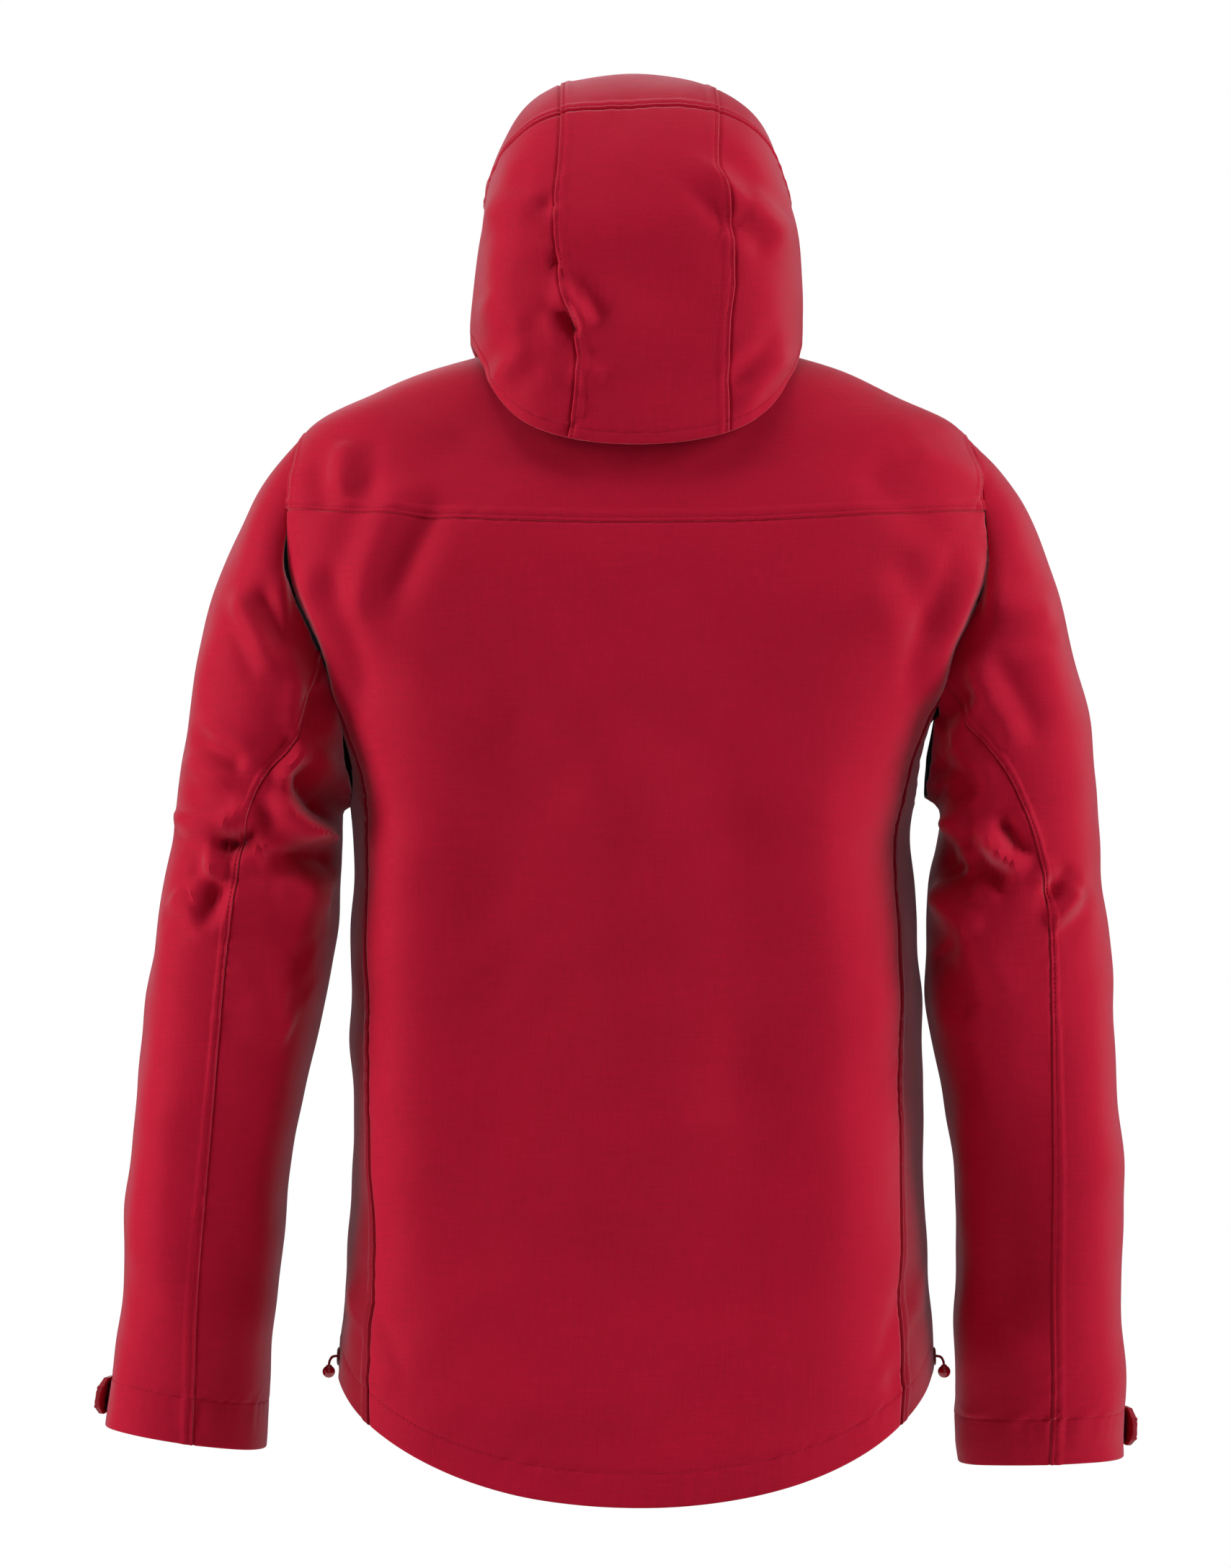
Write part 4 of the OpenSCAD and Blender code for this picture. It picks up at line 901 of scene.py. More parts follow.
def make_panel(name, skin, place, edges=(JOINED, JOINED, JOINED, JOINED), step=0.004, thick=CLOTH,
               out=0.0, finish=None, back=None, shares=None, hole=None, puff=None, mirrored=False):
    s, t = shares or share_grid(skin, place, edges, step)
    values = place(s, t)
    base = skin.surface(*values)
    creased, n = skin.cloth(*values)
    across_run = np.swapaxes(running(np.swapaxes(base, 0, 1)), 0, 1)
    along_run = running(base)
    far = [across_run, across_run[:, -1:] - across_run, along_run, along_run[-1:] - along_run]
    phase = base[..., 0] * 0.9 + base[..., 2] + base[..., 1] * 0.7
    off_out = sum(edge.outer(d, phase) for edge, d in zip(edges, far)) + out
    off_in = np.minimum(off_out - thick, out - thick + sum(edge.inner(d) for edge, d in zip(edges, far)))
    if puff is not None:
        off_out, off_in = off_out + puff(s, t), off_in + puff(s, t)
    skins = np.stack([creased + n * off_out[..., None], creased + n * off_in[..., None]])
    rows, columns = s.shape
    count = rows * columns
    flip = mirrored
    outer = grid_faces(rows, columns, 0, flip, hole)
    inner = grid_faces(rows, columns, count, not flip, hole)
    bottom = list(range(columns))
    top = [(rows - 1) * columns + j for j in range(columns)]
    start_side = [i * columns for i in range(rows)]
    end_side = [i * columns + columns - 1 for i in range(rows)]
    rims = [rim_faces(bottom, count, flip), rim_faces(top, count, not flip),
            rim_faces(start_side, count, not flip), rim_faces(end_side, count, flip)]
    if hole:
        j0, j1, i0, i1 = hole
        rims += [rim_faces([i0 * columns + j for j in range(j0, j1 + 1)], count, not flip),
                 rim_faces([i1 * columns + j for j in range(j0, j1 + 1)], count, flip),
                 rim_faces([i * columns + j0 for i in range(i0, i1 + 1)], count, flip),
                 rim_faces([i * columns + j1 for i in range(i0, i1 + 1)], count, not flip)]
    faces = np.concatenate([outer, inner] + rims)
    slots = [0] * len(outer) + [1] * len(inner) + [0] * sum(len(r) for r in rims)
    obj = mesh_object(name, skins, faces, slots, [finish or shell_cloth, back or finish or backing_film])
    lines = {}
    for where, edge, d, axis in zip(("left", "right", "low", "high"), edges, far, (1, 1, 0, 0)):
        for k, line in enumerate(edge.stitched):
            index = int(np.argmin(np.abs(d.mean(1 - axis) - line)))
            pick = (slice(None), index) if axis == 1 else (index, slice(None))
            lines[where, k] = (skins[0][pick], n[pick])
    return Panel(name, obj, skins[0], n, lines, (float(across_run[:, -1].max()), float(along_run[-1].max())),
                 sheet_area(base))


def sheet_area(p):
    u, v = p[1:, 1:] - p[:-1, :-1], p[1:, :-1] - p[:-1, 1:]
    return float(np.linalg.norm(np.cross(u, v), axis=-1).sum() / 2)


SHEETS = []
NARROWEST_SHEET = 0.012


def sew(panel, body_name, nodes):
    """Puts a panel on its body in place of its plain nodes, and lists it as a sheet of cloth when it is wide
    enough.
    """
    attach(panel.obj, body_name)
    if nodes:
        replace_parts(panel.obj, *nodes)
    if min(panel.flat) > NARROWEST_SHEET:
        wide, long = (round(x, 3) + 0.001 for x in panel.flat)
        area = min(panel.area, wide * long)
        SHEETS.append((panel.name, wide, long, round(area, 4)))
    return panel


print("ready to sew")

# %% [markdown]
# The body is a back panel, a yoke over the shoulders, two side panels and two fronts. The side panels are cut in a
# darker copy of the shell cloth: painted shade for the sides of the body, which turn away from the light. The yoke
# laps over the back with a line of stitches just above the seam, and the hem is turned up and stitched 23 mm from
# its edge, which makes the channel for the hem elastic.

# %% Sew the back, the yoke and the side panels
HEM_STITCH = 0.0235
HEM = Edge("turned", (HEM_STITCH,), 0.0005)
TOPSTITCH = 0.0028
LAPPED = Edge("lapped", (TOPSTITCH,), 0.0003)


def back_place(s, t):
    u = YOKE_U * t
    e = 90 - edge_turn(u)
    return 180 - e + 2 * e * s, u


def yoke_place(s, t):
    u = YOKE_U + (NECK_U - YOKE_U) * t
    top = ARMHOLE_U + ARMHOLE_H
    a0 = np.where(u < top, 90 + armhole_edge(u), 90 + (SHOULDER_TURN - 90) * (u - top) / (NECK_U - top))
    return a0 + (360 - 2 * a0) * s, u


def side_place(side):
    def place(s, t):
        top_u = ARMHOLE_U - ARMHOLE_H * np.sqrt(1 - ((2 * s - 1) * SIDE_TURN_TOP / ARMHOLE_TURN) ** 2)
        u = t * top_u
        turn = (2 * s - 1) * side_turn(u)
        return (90 + turn if side == LEFT else 270 - turn), u
    return place


back_panel = sew(make_panel("back_panel", BODY_SKIN, back_place, (JOINED, JOINED, HEM, JOINED)),
                 "jacket", ["back_panel"])
back_yoke = sew(make_panel("back_yoke", BODY_SKIN, yoke_place, (LAPPED, LAPPED, LAPPED, JOINED), step=0.0035),
                "jacket", ["back_yoke"])
# The side panels get the darker copy of the shell cloth, painted shade where the body turns away from the light.
side_panels = {side: sew(make_panel(f"{word}_side_panel", BODY_SKIN, side_place(side),
                                    (LAPPED, LAPPED, HEM, JOINED), finish=shaded_side_cloth, back=backing_film,
                                    mirrored=side == RIGHT),
                         "jacket", [f"{word}_side_panel"]) for word, side in SIDES.items()}
print("back", [round(x, 3) for x in back_panel.flat], "yoke", [round(x, 3) for x in back_yoke.flat])

# %% [markdown]
# Real stitches are what sells a seam from close by. They could be painted or bumped, but a thread that
# dips into the cloth casts its own small shadow. So each stitch is a short bent capsule, laid end to end
# along the lines that the panels remember. The same capsules, wider and harder, are the teeth of the zips.

# %% Make rows of capsules
def capsules(name, centres, forward, up, length, radius, dip, material, body_name, tall=1.0):
    """One mesh with a small bent capsule at each centre, along forward, bulging towards up."""
    sideways = np.cross(forward, up)
    sideways /= np.maximum(np.linalg.norm(sideways, axis=-1, keepdims=True), 1e-12)
    up = np.cross(sideways, forward)
    stations = np.array([-0.5, -0.42, -0.2, 0.2, 0.42, 0.5]) * length
    girth = np.array([0.3, 0.85, 1, 1, 0.85, 0.3]) * radius
    height = np.array([-1, -0.55, 0, 0, -0.55, -1]) * dip
    turn = np.arange(6) * math.tau / 6
    rings = (centres[:, None, None] + forward[:, None, None] * stations[None, :, None, None]
             + up[:, None, None] * (height[:, None] + girth[:, None] * tall * np.sin(turn))[None, ..., None]
             + sideways[:, None, None] * (girth[:, None] * np.cos(turn))[None, ..., None])
    count, per = len(centres), len(stations) * 6
    one = [[r * 6 + k, r * 6 + (k + 1) % 6, (r + 1) * 6 + (k + 1) % 6, (r + 1) * 6 + k]
           for r in range(len(stations) - 1) for k in range(6)]
    one += [[5, 4, 1, 0], [4, 3, 2, 1], [per - 6, per - 5, per - 2, per - 1], [per - 5, per - 4, per - 3, per - 2]]
    faces = (np.arange(count)[:, None, None] * per + np.array(one)[None, :, ::-1]).reshape(-1, 4)
    obj = mesh_object(name, rings.reshape(-1, 3), faces, np.zeros(len(faces), int), [material], sharp=80)
    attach(obj, body_name)
    return obj


STITCH, STITCH_PITCH, THREAD_R = 0.0024, 0.0033, 0.00026
STITCH_ENDS, STITCH_REACH, STITCH_LIFT, STITCH_DIP = 0.002, 0.0011, 0.00012, 0.0004


def stitch_places(points, normals):
    run = running(points)
    count = max(1, int((run[-1] - 2 * STITCH_ENDS) / STITCH_PITCH))
    at = np.linspace(STITCH_ENDS, run[-1] - STITCH_ENDS, count)
    pick = lambda d, table: np.stack([np.interp(d, run, table[:, k]) for k in range(3)], 1)
    where = pick(at, points)
    forward = pick(at + STITCH_REACH, points) - pick(at - STITCH_REACH, points)
    up = pick(at, normals)
    forward, up = (v / np.linalg.norm(v, axis=1, keepdims=True) for v in (forward, up))
    return where, forward, up


def stitch(name, panels, body_name):
    rows = [stitch_places(*line) for panel in panels for line in panel.lines.values()]
    where, forward, up = (np.concatenate(part) for part in zip(*rows))
    obj = capsules(name, where + up * STITCH_LIFT, forward, up, STITCH, THREAD_R, STITCH_DIP, thread,
                   body_name)
    print(name, len(where), "stitches")
    return obj


def tube(name, path, radius, material, body_name, nodes=(), sides=12):
    """A round cord along a smooth path, in metres."""
    path = np.asarray(path, float)
    around = np.concatenate([path[:1], path, path[-1:]])
    forward = around[2:] - around[:-2]
    forward /= np.linalg.norm(forward, axis=1, keepdims=True)
    guide = np.where(np.abs(forward[:, 2:]) < 0.9, [[0, 0, 1.0]], [[0, 1.0, 0]])
    side = np.cross(forward, guide)
    side /= np.linalg.norm(side, axis=1, keepdims=True)
    up = np.cross(side, forward)
    turn = np.arange(sides) * math.tau / sides
    rings = path[:, None] + radius * (np.cos(turn)[None, :, None] * side[:, None]
                                      + np.sin(turn)[None, :, None] * up[:, None])
    count = len(path)
    faces = [[i * sides + k, i * sides + (k + 1) % sides, (i + 1) * sides + (k + 1) % sides,
              (i + 1) * sides + k] for i in range(count - 1) for k in range(sides)]
    points = np.concatenate([rings.reshape(-1, 3), path[:1], path[-1:]])
    first, last, last_ring = count * sides, count * sides + 1, (count - 1) * sides
    mesh = bpy.data.meshes.new(name)
    faces += [[first, (k + 1) % sides, k] for k in range(sides)]
    faces += [[last, last_ring + k, last_ring + (k + 1) % sides] for k in range(sides)]
    mesh.from_pydata(points.tolist(), [], faces)
    mesh.polygons.foreach_set("use_smooth", np.ones(len(faces), bool))
    mesh.materials.append(material)
    mesh.update()
    obj = bpy.data.objects.new(name, mesh)
    bpy.context.scene.collection.objects.link(obj)
    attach(obj, body_name)
    if nodes:
        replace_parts(obj, *nodes)
    return obj


print("stitch", STITCH, "m long every", STITCH_PITCH, "m")

# %% [markdown]
# The fronts run from the zip to the side seams, each with a window for its pocket zip. Their centre edge
# is turned in and stitched 6 mm back. The collar stands inside the hood; a soft lining faces the neck.
# The inner cloth of the body - the facing of the hem channel, the taped seams and the mesh pocket
# bags - is laid on the same creased surface, a little further in, so it never shows through a fold.

# %% Sew the fronts and the collar
ZIP_EDGE = Edge("turned", (0.006,), 0.0002)
BRIM = Edge("turned", (0.004,), 0.00025)


def window_of(s, t, low, high):
    """The window's columns and rows in a front's grid."""
    row = [int(np.argmin(np.abs(t[:, s.shape[1] // 2] - u / NECK_U))) for u in (low, high)]
    middle = s[(row[0] + row[1]) // 2]
    return [int(np.argmin(np.abs(middle - x))) for x in (POCKET_S - 0.03, POCKET_S + 0.03)] + row


fronts = {}
for word, side in SIDES.items():
    place = front_place(side)
    edges = (ZIP_EDGE, JOINED, HEM, JOINED)
    grid = share_grid(BODY_SKIN, place, edges, 0.004)
    gap = window_of(*grid, POCKET_LOW, POCKET_HIGH)
    fronts[side] = sew(make_panel(f"{word}_front", BODY_SKIN, place, edges, shares=grid, hole=gap,
                                  mirrored=side == RIGHT), "jacket", [f"{word}_front"])
collar_outer = sew(make_panel("collar_outer", COLLAR_SKIN, lambda s, t: (4.6 + 350.8 * s, 0.0 + 2.0 * t),
                              (BRIM, BRIM, JOINED, BRIM)), "jacket", ["collar_outer"])
LINING_IN, LINING_THICK = -0.0022, 0.0011
sew(make_panel("collar_lining", COLLAR_SKIN, lambda s, t: (10 + 340 * s, 0.03 + 1.93 * t),
               (PLAIN, PLAIN, PLAIN, PLAIN), out=LINING_IN, thick=LINING_THICK, finish=collar_fleece),
    "jacket", ["collar_lining"])
print("front", [round(x, 3) for x in fronts[LEFT].flat], "collar", [round(x, 3) for x in collar_outer.flat])

# %% Sew the inner cloth of the body
HEM_T = 0.2087
HEM_FACING_IN, BAG_IN, BAG_THICK = -0.0066, -0.0028, 0.0006
ELASTIC_IN, ELASTIC_R = 0.0043, 0.0013
for number, (low, high) in enumerate(((8.5, 85), (95, 265), (275, 351.5))):
    sew(make_panel(f"hem_facing_{number + 1}", BODY_SKIN,
                   lambda s, t: (low + (high - low) * s, 0.015 + (HEM_T - 0.015) * t),
                   (PLAIN, PLAIN, PLAIN, PLAIN), out=HEM_FACING_IN, finish=facing_cloth),
        "jacket", ["hem_facing"])
TAPE_IN, TAPE_T = -0.0026, 0.0002
sew(make_panel("yoke_tape", BODY_SKIN, lambda s, t: (119 + 122 * s, 6.85 + 0.185 * (2 * t - 1)),
               (PLAIN, PLAIN, PLAIN, PLAIN), out=TAPE_IN, thick=TAPE_T, finish=tape_film), "jacket",
    ["body_seam_tape"])
for number, (middle, way) in enumerate(((90, -1), (90, 1), (270, -1), (270, 1))):
    sew(make_panel(f"side_tape_{number + 1}", BODY_SKIN,
                   lambda s, t: (middle + way * side_turn(0.31 + 3.19 * t) + 2.9 * (2 * s - 1), 0.31 + 3.19 * t),
                   (PLAIN, PLAIN, PLAIN, PLAIN), out=TAPE_IN, thick=TAPE_T, finish=tape_film), "jacket",
        ["body_seam_tape"])


def bag_fullness(s, t):
    """The bag hangs up to 14 mm away from the front, and is flat at its edges."""
    return -0.014 * np.maximum(0, np.sin(math.pi * s) * np.sin(math.pi * t)) ** 0.45


for word, side in SIDES.items():
    sew(make_panel(f"{word}_pocket_bag", BODY_SKIN,
                   lambda s, t: front_place(side)(0.24 + 0.69 * s, (0.45 + 2.95 * t) / NECK_U),
                   (PLAIN, PLAIN, PLAIN, PLAIN), out=BAG_IN, thick=BAG_THICK, finish=mesh_cloth,
                   puff=bag_fullness,
                   mirrored=side == RIGHT), "jacket", [f"{word}_pocket_bag"])
elastic_turns = [np.linspace(*span, 60) for span in ((9.5, 85), (95, 265), (275, 350.5))]
for number, turns in enumerate(elastic_turns):
    where, facing = BODY_SKIN.cloth(turns, np.full(60, HEM_T * 0.45))
    tube(f"hem_elastic_{number + 1}", where - facing * ELASTIC_IN, ELASTIC_R, elastic_cloth, "jacket",
         ["hem_elastic"], sides=8)
print("inner cloth:", len(SHEETS), "sheets so far")

# %% [markdown]
# Each sleeve is an upper and an under panel. The seam at the back starts low on the armhole and swings to
# the middle of the sleeve at the elbow, where the upper panel laps over with a line of stitches.
# The cuff is turned in and stitched 34 mm up, with a facing inside.

# %% Sew the sleeves
BACK_SEAM = {LEFT: [246, 250, 254, 272, 276, 275, 271, 268, 263, 261],
             RIGHT: [240, 248, 256, 272, 284, 284, 278, 276, 276, 274]}
FRONT_SEAM = 95
CUFF = Edge("turned", (0.034,), 0.0005)


def upper_place(side):
    return lambda s, t: (side * (along(BACK_SEAM[side], CUFF_U * t) - 360
                                 + (FRONT_SEAM + 360 - along(BACK_SEAM[side], CUFF_U * t)) * s), CUFF_U * t)


def under_place(side):
    return lambda s, t: (side * (FRONT_SEAM + (along(BACK_SEAM[side], CUFF_U * t) - FRONT_SEAM) * s),
                         CUFF_U * t)


upper_sleeves, under_sleeves = {}, {}
for word, side in SIDES.items():
    upper_sleeves[side] = sew(make_panel(f"{word}_upper_sleeve", SLEEVES[side], upper_place(side),
                                         (LAPPED, JOINED, JOINED, CUFF), step=0.003, mirrored=side == RIGHT),
                              "jacket", [f"{word}_upper_sleeve"])
    under_sleeves[side] = sew(make_panel(f"{word}_under_sleeve", SLEEVES[side], under_place(side),
                                         (JOINED, JOINED, JOINED, CUFF), step=0.003, mirrored=side == RIGHT),
                              "jacket", [f"{word}_under_sleeve"])
    sew(make_panel(f"{word}_cuff_facing", SLEEVES[side],
                   lambda s, t: (side * (180.6 + 358.8 * s), 8.34 + 0.64 * t),
                   (PLAIN, PLAIN, PLAIN, PLAIN), out=-0.0024, thick=0.0006, finish=facing_cloth,
                   mirrored=side == RIGHT), "jacket", [f"{word}_cuff_facing"])
print("upper sleeve", [round(x, 3) for x in upper_sleeves[LEFT].flat])

# %% [markdown]
# A cuff tab is a moulded rubber strap that is sewn at its front end and grips a loop patch with a small
# hook patch. The free end stands a little off the sleeve and has ribs to pull it by.

# %% Make the cuff tabs
TAB_U, TAB_HALF, TAB_FROM, TAB_SPAN = 8.52, 0.26, -6.0, 52.9


def band_place(side, low, high, half):
    def place(s, t):
        narrow = np.minimum(1, 4 * np.minimum(s, 1 - s) + 0.55)
        return side * (low + (high - low) * s), TAB_U + half * narrow * (2 * t - 1)
    return place


def tab_stand(s, t):
    free = 0.005 * np.maximum(0, 1 - s / 0.2) ** 2
    sewn = -0.0026 * np.maximum(0, (s - 0.86) / 0.14)
    grip = (smooth((s - 0.03) / 0.02) * smooth((0.34 - s) / 0.02)
            * smooth((t - 0.1) / 0.08) * smooth((0.9 - t) / 0.08))
    ribs = 0.00045 * np.maximum(0, np.sin(s * math.tau * 22)) * grip
    return free + sewn + ribs


TAB_EDGE = Edge("turned", (0.0022,), 0)
for word, side in SIDES.items():
    tab = sew(make_panel(f"{word}_cuff_tab", SLEEVES[side],
                         band_place(side, TAB_FROM, TAB_FROM + TAB_SPAN, TAB_HALF), (TAB_EDGE,) * 4,
                         step=0.0006, thick=0.0014, out=0.0043, finish=tab_rubber, puff=tab_stand,
                         mirrored=side == RIGHT), f"{word}_cuff_tab", [f"{word}_cuff_tab"])
    sew(make_panel(f"{word}_tab_hook", SLEEVES[side],
                   band_place(side, TAB_FROM + 12, TAB_FROM + 32, TAB_HALF - 0.06), (PLAIN,) * 4,
                   step=0.002, thick=0.001, out=0.0026, finish=hook_tape, mirrored=side == RIGHT),
        f"{word}_cuff_tab", [f"{word}_tab_hook"])
    sew(make_panel(f"{word}_cuff_loop", SLEEVES[side],
                   band_place(side, TAB_FROM + 9, TAB_FROM + TAB_SPAN - 9, TAB_HALF - 0.03), (PLAIN,) * 4,
                   step=0.002, thick=0.001, out=0.0013, finish=hook_tape, mirrored=side == RIGHT), "jacket",
        [f"{word}_cuff_loop"])
print("cuff tab", [round(x, 3) for x in tab.flat])

# %% [markdown]
# The hood has a centre panel between two side panels, and a crown piece that runs on to the brim. The
# seams beside the centre panel wander a little, as sewn seams do. The seams run on over the crown, so
# it is cut as three patches that meet in lapped seams. The brim and the face edge are turned and
# stitched, with a stiffener and a facing inside.

# %% Sew the hood
SEAM_U = [0, 1.0, 1.5, 2.0, 2.6, 3.2, 3.6, 4.65, 8]
LEFT_SEAM = [0.135, 0.115, 0.128, 0.155, 0.168, 0.172, 0.170, 0.167, 0.175]
RIGHT_SEAM = [0.184, 0.185, 0.190, 0.203, 0.203, 0.190, 0.172, 0.180, 0.180]
FACE_EDGE, HOOD_HEM, BRIM_EDGE = Edge("turned", (0.012,), 0.0003), Edge("turned", (0.008,), 0.0004), Edge(
    "turned", (0.018,), 0.0003)


def left_seam(u):
    return -np.interp(u, SEAM_U, LEFT_SEAM)


def right_seam(u):
    return np.interp(u, SEAM_U, RIGHT_SEAM)


def hood_place(first, last, low, high):
    def place(s, t):
        u = low + (high - low) * t
        return first(u) + (last(u) - first(u)) * s, u
    return place


def face_left(u):
    return -1.0 + 0 * u


def face_right(u):
    return 1.0 + 0 * u


hood_parts = {}
for name, first, last, edges in (
        ("hood_centre", left_seam, right_seam, (LAPPED, LAPPED, HOOD_HEM, JOINED)),
        ("hood_left", face_left, left_seam, (FACE_EDGE, JOINED, HOOD_HEM, JOINED)),
        ("hood_right", right_seam, face_right, (JOINED, FACE_EDGE, HOOD_HEM, JOINED))):
    hood_parts[name] = sew(make_panel(name, HOOD_SKIN, hood_place(first, last, 0, CROWN_U), edges,
                                      step=0.003),
                           "hood", [name])
for name, first, last, edges in (
        ("crown_centre", left_seam, right_seam, (LAPPED, LAPPED, LAPPED, BRIM_EDGE)),
        ("crown_left", face_left, left_seam, (FACE_EDGE, JOINED, LAPPED, BRIM_EDGE)),
        ("crown_right", right_seam, face_right, (JOINED, FACE_EDGE, LAPPED, BRIM_EDGE))):
    hood_parts[name] = sew(make_panel(name, HOOD_SKIN, hood_place(first, last, CROWN_U, BRIM_U), edges,
                                      step=0.003),
                           "hood", ["hood_crown"])

HOOD_FACING_IN, STIFFENER_IN, STIFFENER_THICK = -0.0058, -0.0028, 0.002
sew(make_panel("hood_facing", HOOD_SKIN, lambda s, t: (-0.94 + 1.88 * s, 7.25 + 0.73 * t), (PLAIN,) * 4,
               out=HOOD_FACING_IN, finish=facing_cloth), "hood", ["hood_facing"])
sew(make_panel("brim_stiffener", HOOD_SKIN, lambda s, t: (-0.6 + 1.2 * s, 7.65 + 0.3 * t), (PLAIN,) * 4,
               out=STIFFENER_IN, thick=STIFFENER_THICK, finish=board), "hood", ["brim_stiffener"])
for number, seam in enumerate((left_seam, right_seam)):
    sew(make_panel(f"hood_tape_{number + 1}", HOOD_SKIN,
                   lambda s, t: (seam(1.15 + 3.2 * t) + 0.035 * (2 * s - 1), 1.15 + 3.2 * t), (PLAIN,) * 4,
                   out=TAPE_IN, thick=TAPE_T, finish=tape_film), "hood", ["hood_seam_tape"])


def neck_band(a, b):
    a, b = np.broadcast_arrays(np.asarray(a, float), np.asarray(b, float))
    turn, share = 24 + 312 * a, 0.84 * (2 * a - 1)
    low = collar(turn, 0.53) + COLLAR_SKIN.normal(turn, 0.53 + 0 * turn) * 0.0053
    high = hood(share, 0.95) + HOOD_SKIN.normal(share, 0.95 + 0 * share) * -0.0030
    return low + (high - low) * b[..., None]


BAND_SKIN = Skin(neck_band, [], 0.002, 0.01, calm=0.3)
sew(make_panel("hood_neck_band", BAND_SKIN, lambda s, t: (0.002 + 0.996 * s, 0.06 + 0.92 * t), (PLAIN,) * 4,
               out=0.0003, finish=facing_cloth), "hood", ["hood_neck_band"])
print("hood centre", [round(x, 3) for x in hood_parts["hood_centre"].flat])

# %% Lay the stitches
stitch("back_stitches", [back_panel, back_yoke, *side_panels.values()], "jacket")
stitch("front_stitches", [*fronts.values(), collar_outer], "jacket")
stitch("sleeve_stitches", [*upper_sleeves.values(), *under_sleeves.values()], "jacket")
stitch("hood_stitches", list(hood_parts.values()), "hood")

# %% [markdown]
# Every zip lies in its own straight frame: x across, -y outwards, z along. The tapes are woven strips
# with a stitch line, and the coil is a row of hard capsules across them, one to each turn of the coil.
# A solid bar would do for a coil from far away, but its turns catch the light on the front.

# %% Make the zips
class Straight:
    """A straight sewing frame with its own axes."""

    def __init__(self, start, x, y, z):
        self.start, self.x, self.y, self.z = start, x, y, z

    def at(self, x, y, z):
        x, y, z = np.broadcast_arrays(*(np.asarray(v, float)[..., None] for v in (x, y, z)))
        return self.start + x * self.x + y * self.y + z * self.z


def unit(v):
    return v / np.linalg.norm(v)


zip_tilt = math.atan(zip_slope)
ZIP_L = math.hypot(chin_z - front_hem_z, front_out - chin_out) - 0.006
tilt_z = np.array([0, math.sin(zip_tilt), math.cos(zip_tilt)])
tilt_y = np.array([0, math.cos(zip_tilt), -math.sin(zip_tilt)])
front_frame = Straight(np.array([0, -chin_out, chin_z]) - tilt_z * (ZIP_L + 0.002),
                       np.array([1.0, 0, 0]), tilt_y, tilt_z)
POCKET_L, COIL_Y, COIL_IN, COIL_OUT, TAPE_WIDE = 0.170, 0.0028, 0.0006, 0.0032, 0.009
COIL_PITCH, ZIP_TAPE_OUT, ZIP_TAPE_THICK = 0.0015, 0.0024, 0.0008


def pocket_frame(side):
    low, high = (body(*front_place(side)(POCKET_S, u / NECK_U)) for u in (POCKET_LOW, POCKET_HIGH))
    middle = front_place(side)(POCKET_S, (POCKET_LOW + POCKET_HIGH) / 2 / NECK_U)
    z = unit(high - low)
    x = unit(np.cross(-BODY_SKIN.normal(*middle), z))
    y = np.cross(z, x)
    return Straight((low + high) / 2 - z * POCKET_L / 2 + y * 0.0008, x, y, z)


def strip(name, straight, x0, x1, y, z0, z1, edges, thick, finish, nodes):
    skin = Skin(lambda a, b: straight.at(a, y, b), [], 0.0005, 0.0005, calm=0)
    return sew(make_panel(name, skin, lambda s, t: (x0 + (x1 - x0) * s, z0 + (z1 - z0) * t), edges,
                          step=0.003, thick=thick, finish=finish), "jacket", nodes)


def teeth(name, straight, z0, z1, node):
    z = np.arange(z0 + COIL_PITCH / 2, z1, COIL_PITCH)
    rows = [straight.at(side * (COIL_IN + COIL_OUT) / 2, COIL_Y, z + shift)
            for side, shift in ((1, 0), (-1, 0.0004))]
    where = np.concatenate(rows)
    forward = np.tile(straight.x, (len(where), 1))
    obj = capsules(name, where, forward, np.tile(-straight.y, (len(where), 1)), COIL_OUT - COIL_IN,
                   0.00056, 0.0001, coil_plastic, "jacket", tall=1.9)
    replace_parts(obj, node)


TAPE_EDGES = (PLAIN, Edge("plain", (0.0035,)), PLAIN, PLAIN)
TAPE_EDGES_BACK = (Edge("plain", (0.0035,)), PLAIN, PLAIN, PLAIN)
zip_tapes = []
for name, straight, length, low, high in (("main", front_frame, ZIP_L, 0.0091, ZIP_L - 0.0031),
                                          ("left_pocket", pocket_frame(LEFT), POCKET_L, 0, POCKET_L),
                                          ("right_pocket", pocket_frame(RIGHT), POCKET_L, 0, POCKET_L)):
    zip_tapes.append(strip(f"{name}_tape_1", straight, COIL_OUT, COIL_OUT + TAPE_WIDE, ZIP_TAPE_OUT, 0, length,
                           TAPE_EDGES, ZIP_TAPE_THICK, zip_cloth, [f"{name}_tapes"]))
    zip_tapes.append(strip(f"{name}_tape_2", straight, -COIL_OUT - TAPE_WIDE, -COIL_OUT, ZIP_TAPE_OUT, 0, length,
                           TAPE_EDGES_BACK, ZIP_TAPE_THICK, zip_cloth, [f"{name}_tapes"]))
    teeth(f"{name}_teeth", straight, low, high, f"{name}_coils")
FLAP_EDGE = Edge("turned", (0.004,), 0.0002)
storm_flap = strip("storm_flap", front_frame, -0.02, 0.02, 0.006, 0.002, ZIP_L - 0.002, (FLAP_EDGE,) * 4, 0.001,
                   facing_cloth, ["storm_flap"])
stitch("zip_stitches", zip_tapes + [storm_flap], "jacket")

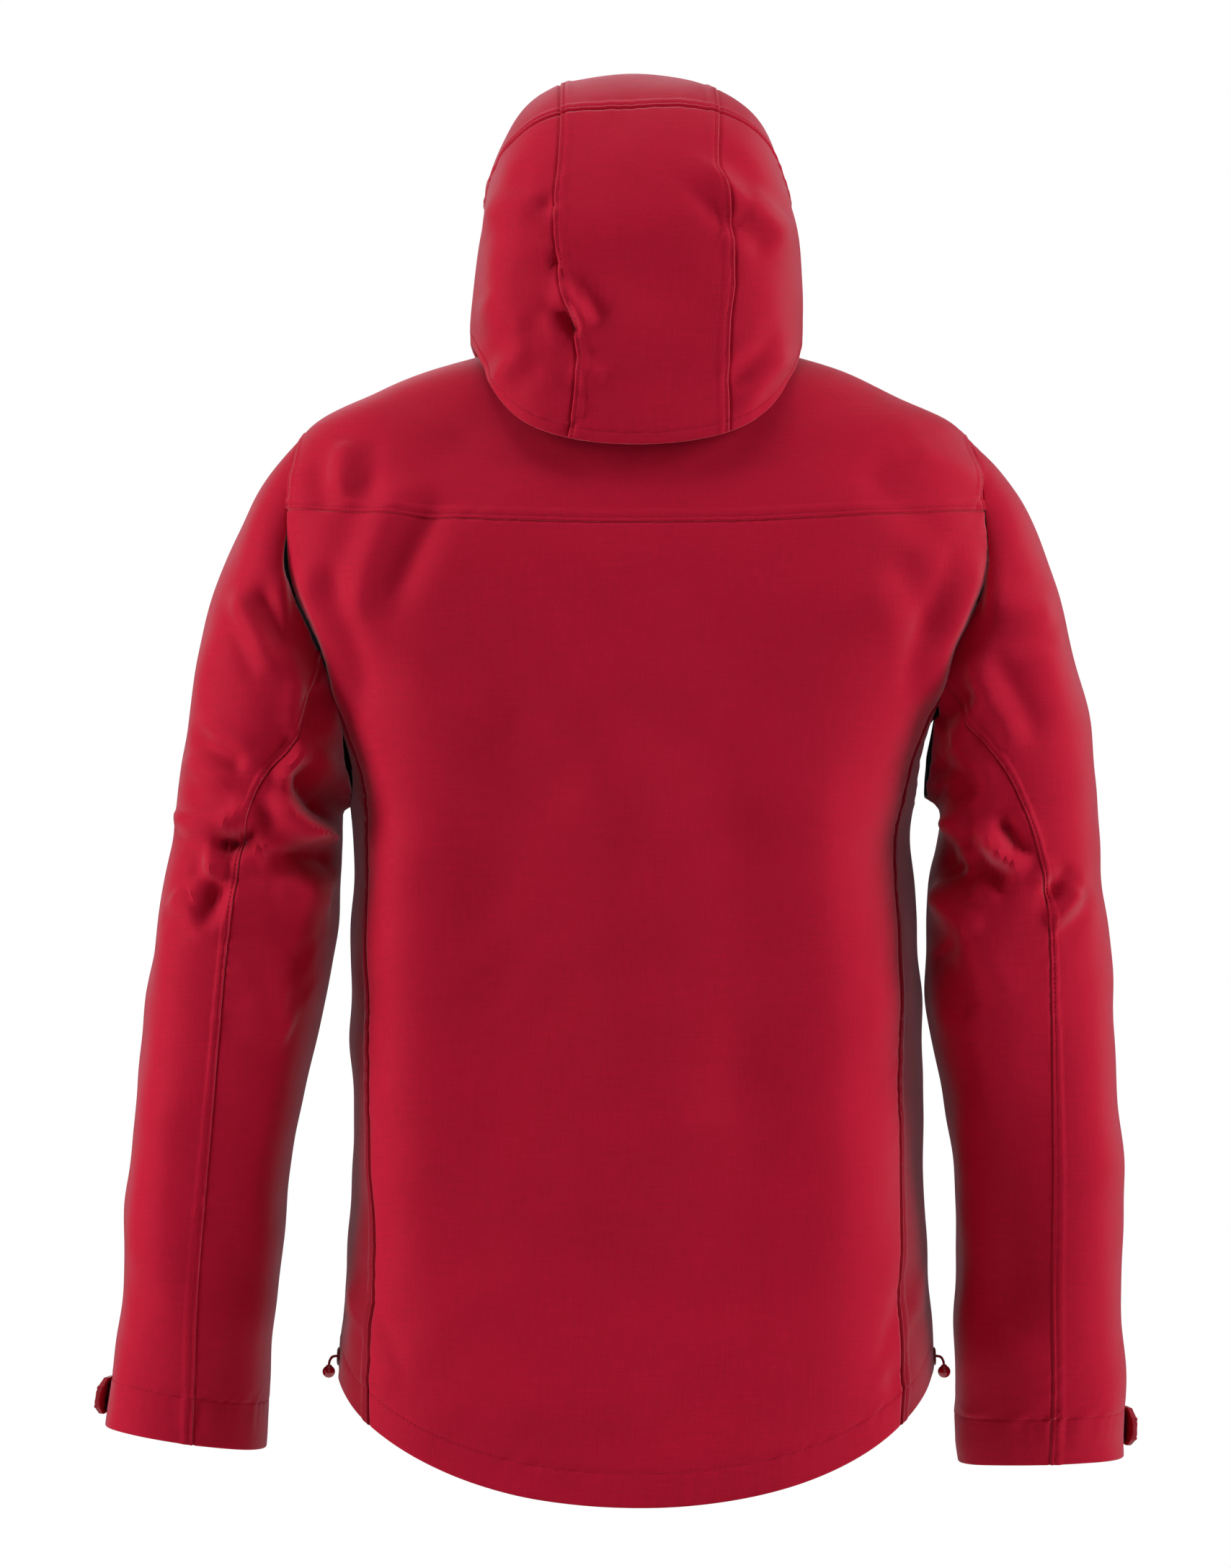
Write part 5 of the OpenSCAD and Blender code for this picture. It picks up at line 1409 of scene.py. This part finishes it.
# The zip that holds the hood on: teeth stand along both of its halves
for name, height, body_name in (("collar_zip", 0.352, "jacket"), ("hood_zip", 0.378, "hood")):
    turns = np.linspace(24.5, 335.5, 300)
    heights = np.full(300, height)
    where = collar(turns, heights) + COLLAR_SKIN.normal(turns, heights) * 0.0029
    ahead = collar(turns, heights + 0.05) - collar(turns, heights - 0.05)
    capsules(f"{name}_teeth", where, ahead / np.linalg.norm(ahead, axis=1, keepdims=True),
             COLLAR_SKIN.normal(turns, heights), 0.0022, 0.00045, 0.0001, coil_plastic, body_name)
print("zips:", len(zip_tapes), "tapes")

# %% [markdown]
# At each side hem a loop of elastic cord comes out of an eyelet and ends in a glossy red pull ball. Two
# strands leave the eyelet and go into the neck of the ball. The ball is turned from a profile, with a
# neck, because a plain sphere would have nowhere for the cord to go.

# %% Make the cord loops
def turned_part(name, profile, place, axes, material, body_name, sides=48):
    """Turns a profile of (radius, height) round the third of the axes."""
    turn = np.arange(sides) * math.tau / sides
    profile = np.array(profile)
    around = np.cos(turn)[:, None] * axes[0] + np.sin(turn)[:, None] * axes[1]
    rings = (place + profile[:, 0, None, None] * around
             + profile[:, 1, None, None] * axes[2])
    faces = [[i * sides + k, i * sides + (k + 1) % sides, (i + 1) * sides + (k + 1) % sides, (i + 1) * sides + k]
             for i in range(len(profile) - 1) for k in range(sides)]
    obj = mesh_object(name, rings, np.array(faces)[:, ::-1], np.zeros(len(faces), int), [material], sharp=50)
    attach(obj, body_name)
    return obj


REACH = np.array([[-3.0, 0, 0], [0, 0, 0], [3, 0, 0], [5.5, 0.2, -1], [7, 0.5, -4], [7.2, 1, -7],
                  [7.2, 1, -8]]) * MM
BALL_R, CORD_R = 0.0044, 0.0008
for word, side in SIDES.items():
    turn = EYELET_TURN if side == LEFT else 360 - EYELET_TURN
    at, out = body(turn, EYELET_U), BODY_SKIN.normal(turn, EYELET_U)
    up = unit(np.array([0, 0, 1.0]) - out[2] * out)
    beside = np.cross(up, side * out)
    loops = []
    for strand in (-1, 1):
        reach = along(REACH, np.linspace(0, len(REACH) - 1, 40))
        spread = strand * (0.0009 + 0.0007 * np.sin(np.linspace(0, 1, 40) * math.pi))
        path = at + reach[:, :1] * out + (reach[:, 1:2] + spread[:, None] * 0.8) * beside + reach[:, 2:] * up
        loops.append(tube(f"{word}_cord_{'a' if strand < 0 else 'b'}", path, CORD_R, cord_cloth, "jacket",
                          [f"{word}_cord_loop"], sides=10))
    middle = at + 0.0072 * out + 0.001 * beside + (-0.007 - BALL_R + 0.0006) * up
    round_part = [(BALL_R * math.sin(a), BALL_R * math.cos(a)) for a in np.linspace(0.5, math.pi - 0.0005, 24)]
    profile = [(0.00002, 0.0048), (0.0016, 0.0048), (0.0020, 0.0045), (0.0020, 0.0040)] + round_part
    turned_part(f"{word}_ball", profile, middle, (out, beside, up), ball_plastic, "jacket")
print("ball radius", BALL_R)

# %% [markdown]
# The small hard parts keep the frame's own shapes: their edges are rounded with a bevel, and each gets
# the finish of its kind. Sliders are painted metal, locks and buttons are black plastic.

# %% Finish the hardware
def dress(node, material, round_off=0.0002, segments=2):
    obj = frame["nodes"][node]
    obj.data.materials.clear()
    obj.data.materials.append(material)
    if round_off:
        bevel = obj.modifiers.new("rounded", "BEVEL")
        bevel.width, bevel.segments, bevel.limit_method = round_off, segments, "ANGLE"
        bevel.angle_limit = math.radians(35)
        bevel.harden_normals = True


for node in ("main_slider", "left_pocket_slider", "right_pocket_slider"):
    dress(node, slider_metal, 0.00025, 3)
for node in ("main_puller", "left_pocket_puller", "right_pocket_puller"):
    dress(node, tab_rubber, 0.0003, 3)
dress("main_stops", bare_metal)
for word in SIDES:
    dress(f"{word}_cord_lock", lock_plastic, 0.0006, 3)
    dress(f"{word}_lock_button", lock_plastic, 0.0005, 3)
    dress(f"{word}_eyelet", slider_metal, 0.00015)
dress("hood_zip", zip_cloth, 0.0003)
dress("collar_zip", zip_cloth, 0.0003)
dress("hanger_loop", ribbon_cloth, 0.0002)
dress("blank_label", label_cloth, 0.0001)
replaced = {name for obj in bpy.data.objects for name in obj.get("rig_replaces", [])}
print("nodes kept from the frame:", sorted(set(frame["nodes"]) - replaced))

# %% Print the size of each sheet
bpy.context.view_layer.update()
for sheet_name, wide, long, area in SHEETS:
    print("sheet", sheet_name, round(wide, 3), round(long, 3), area)
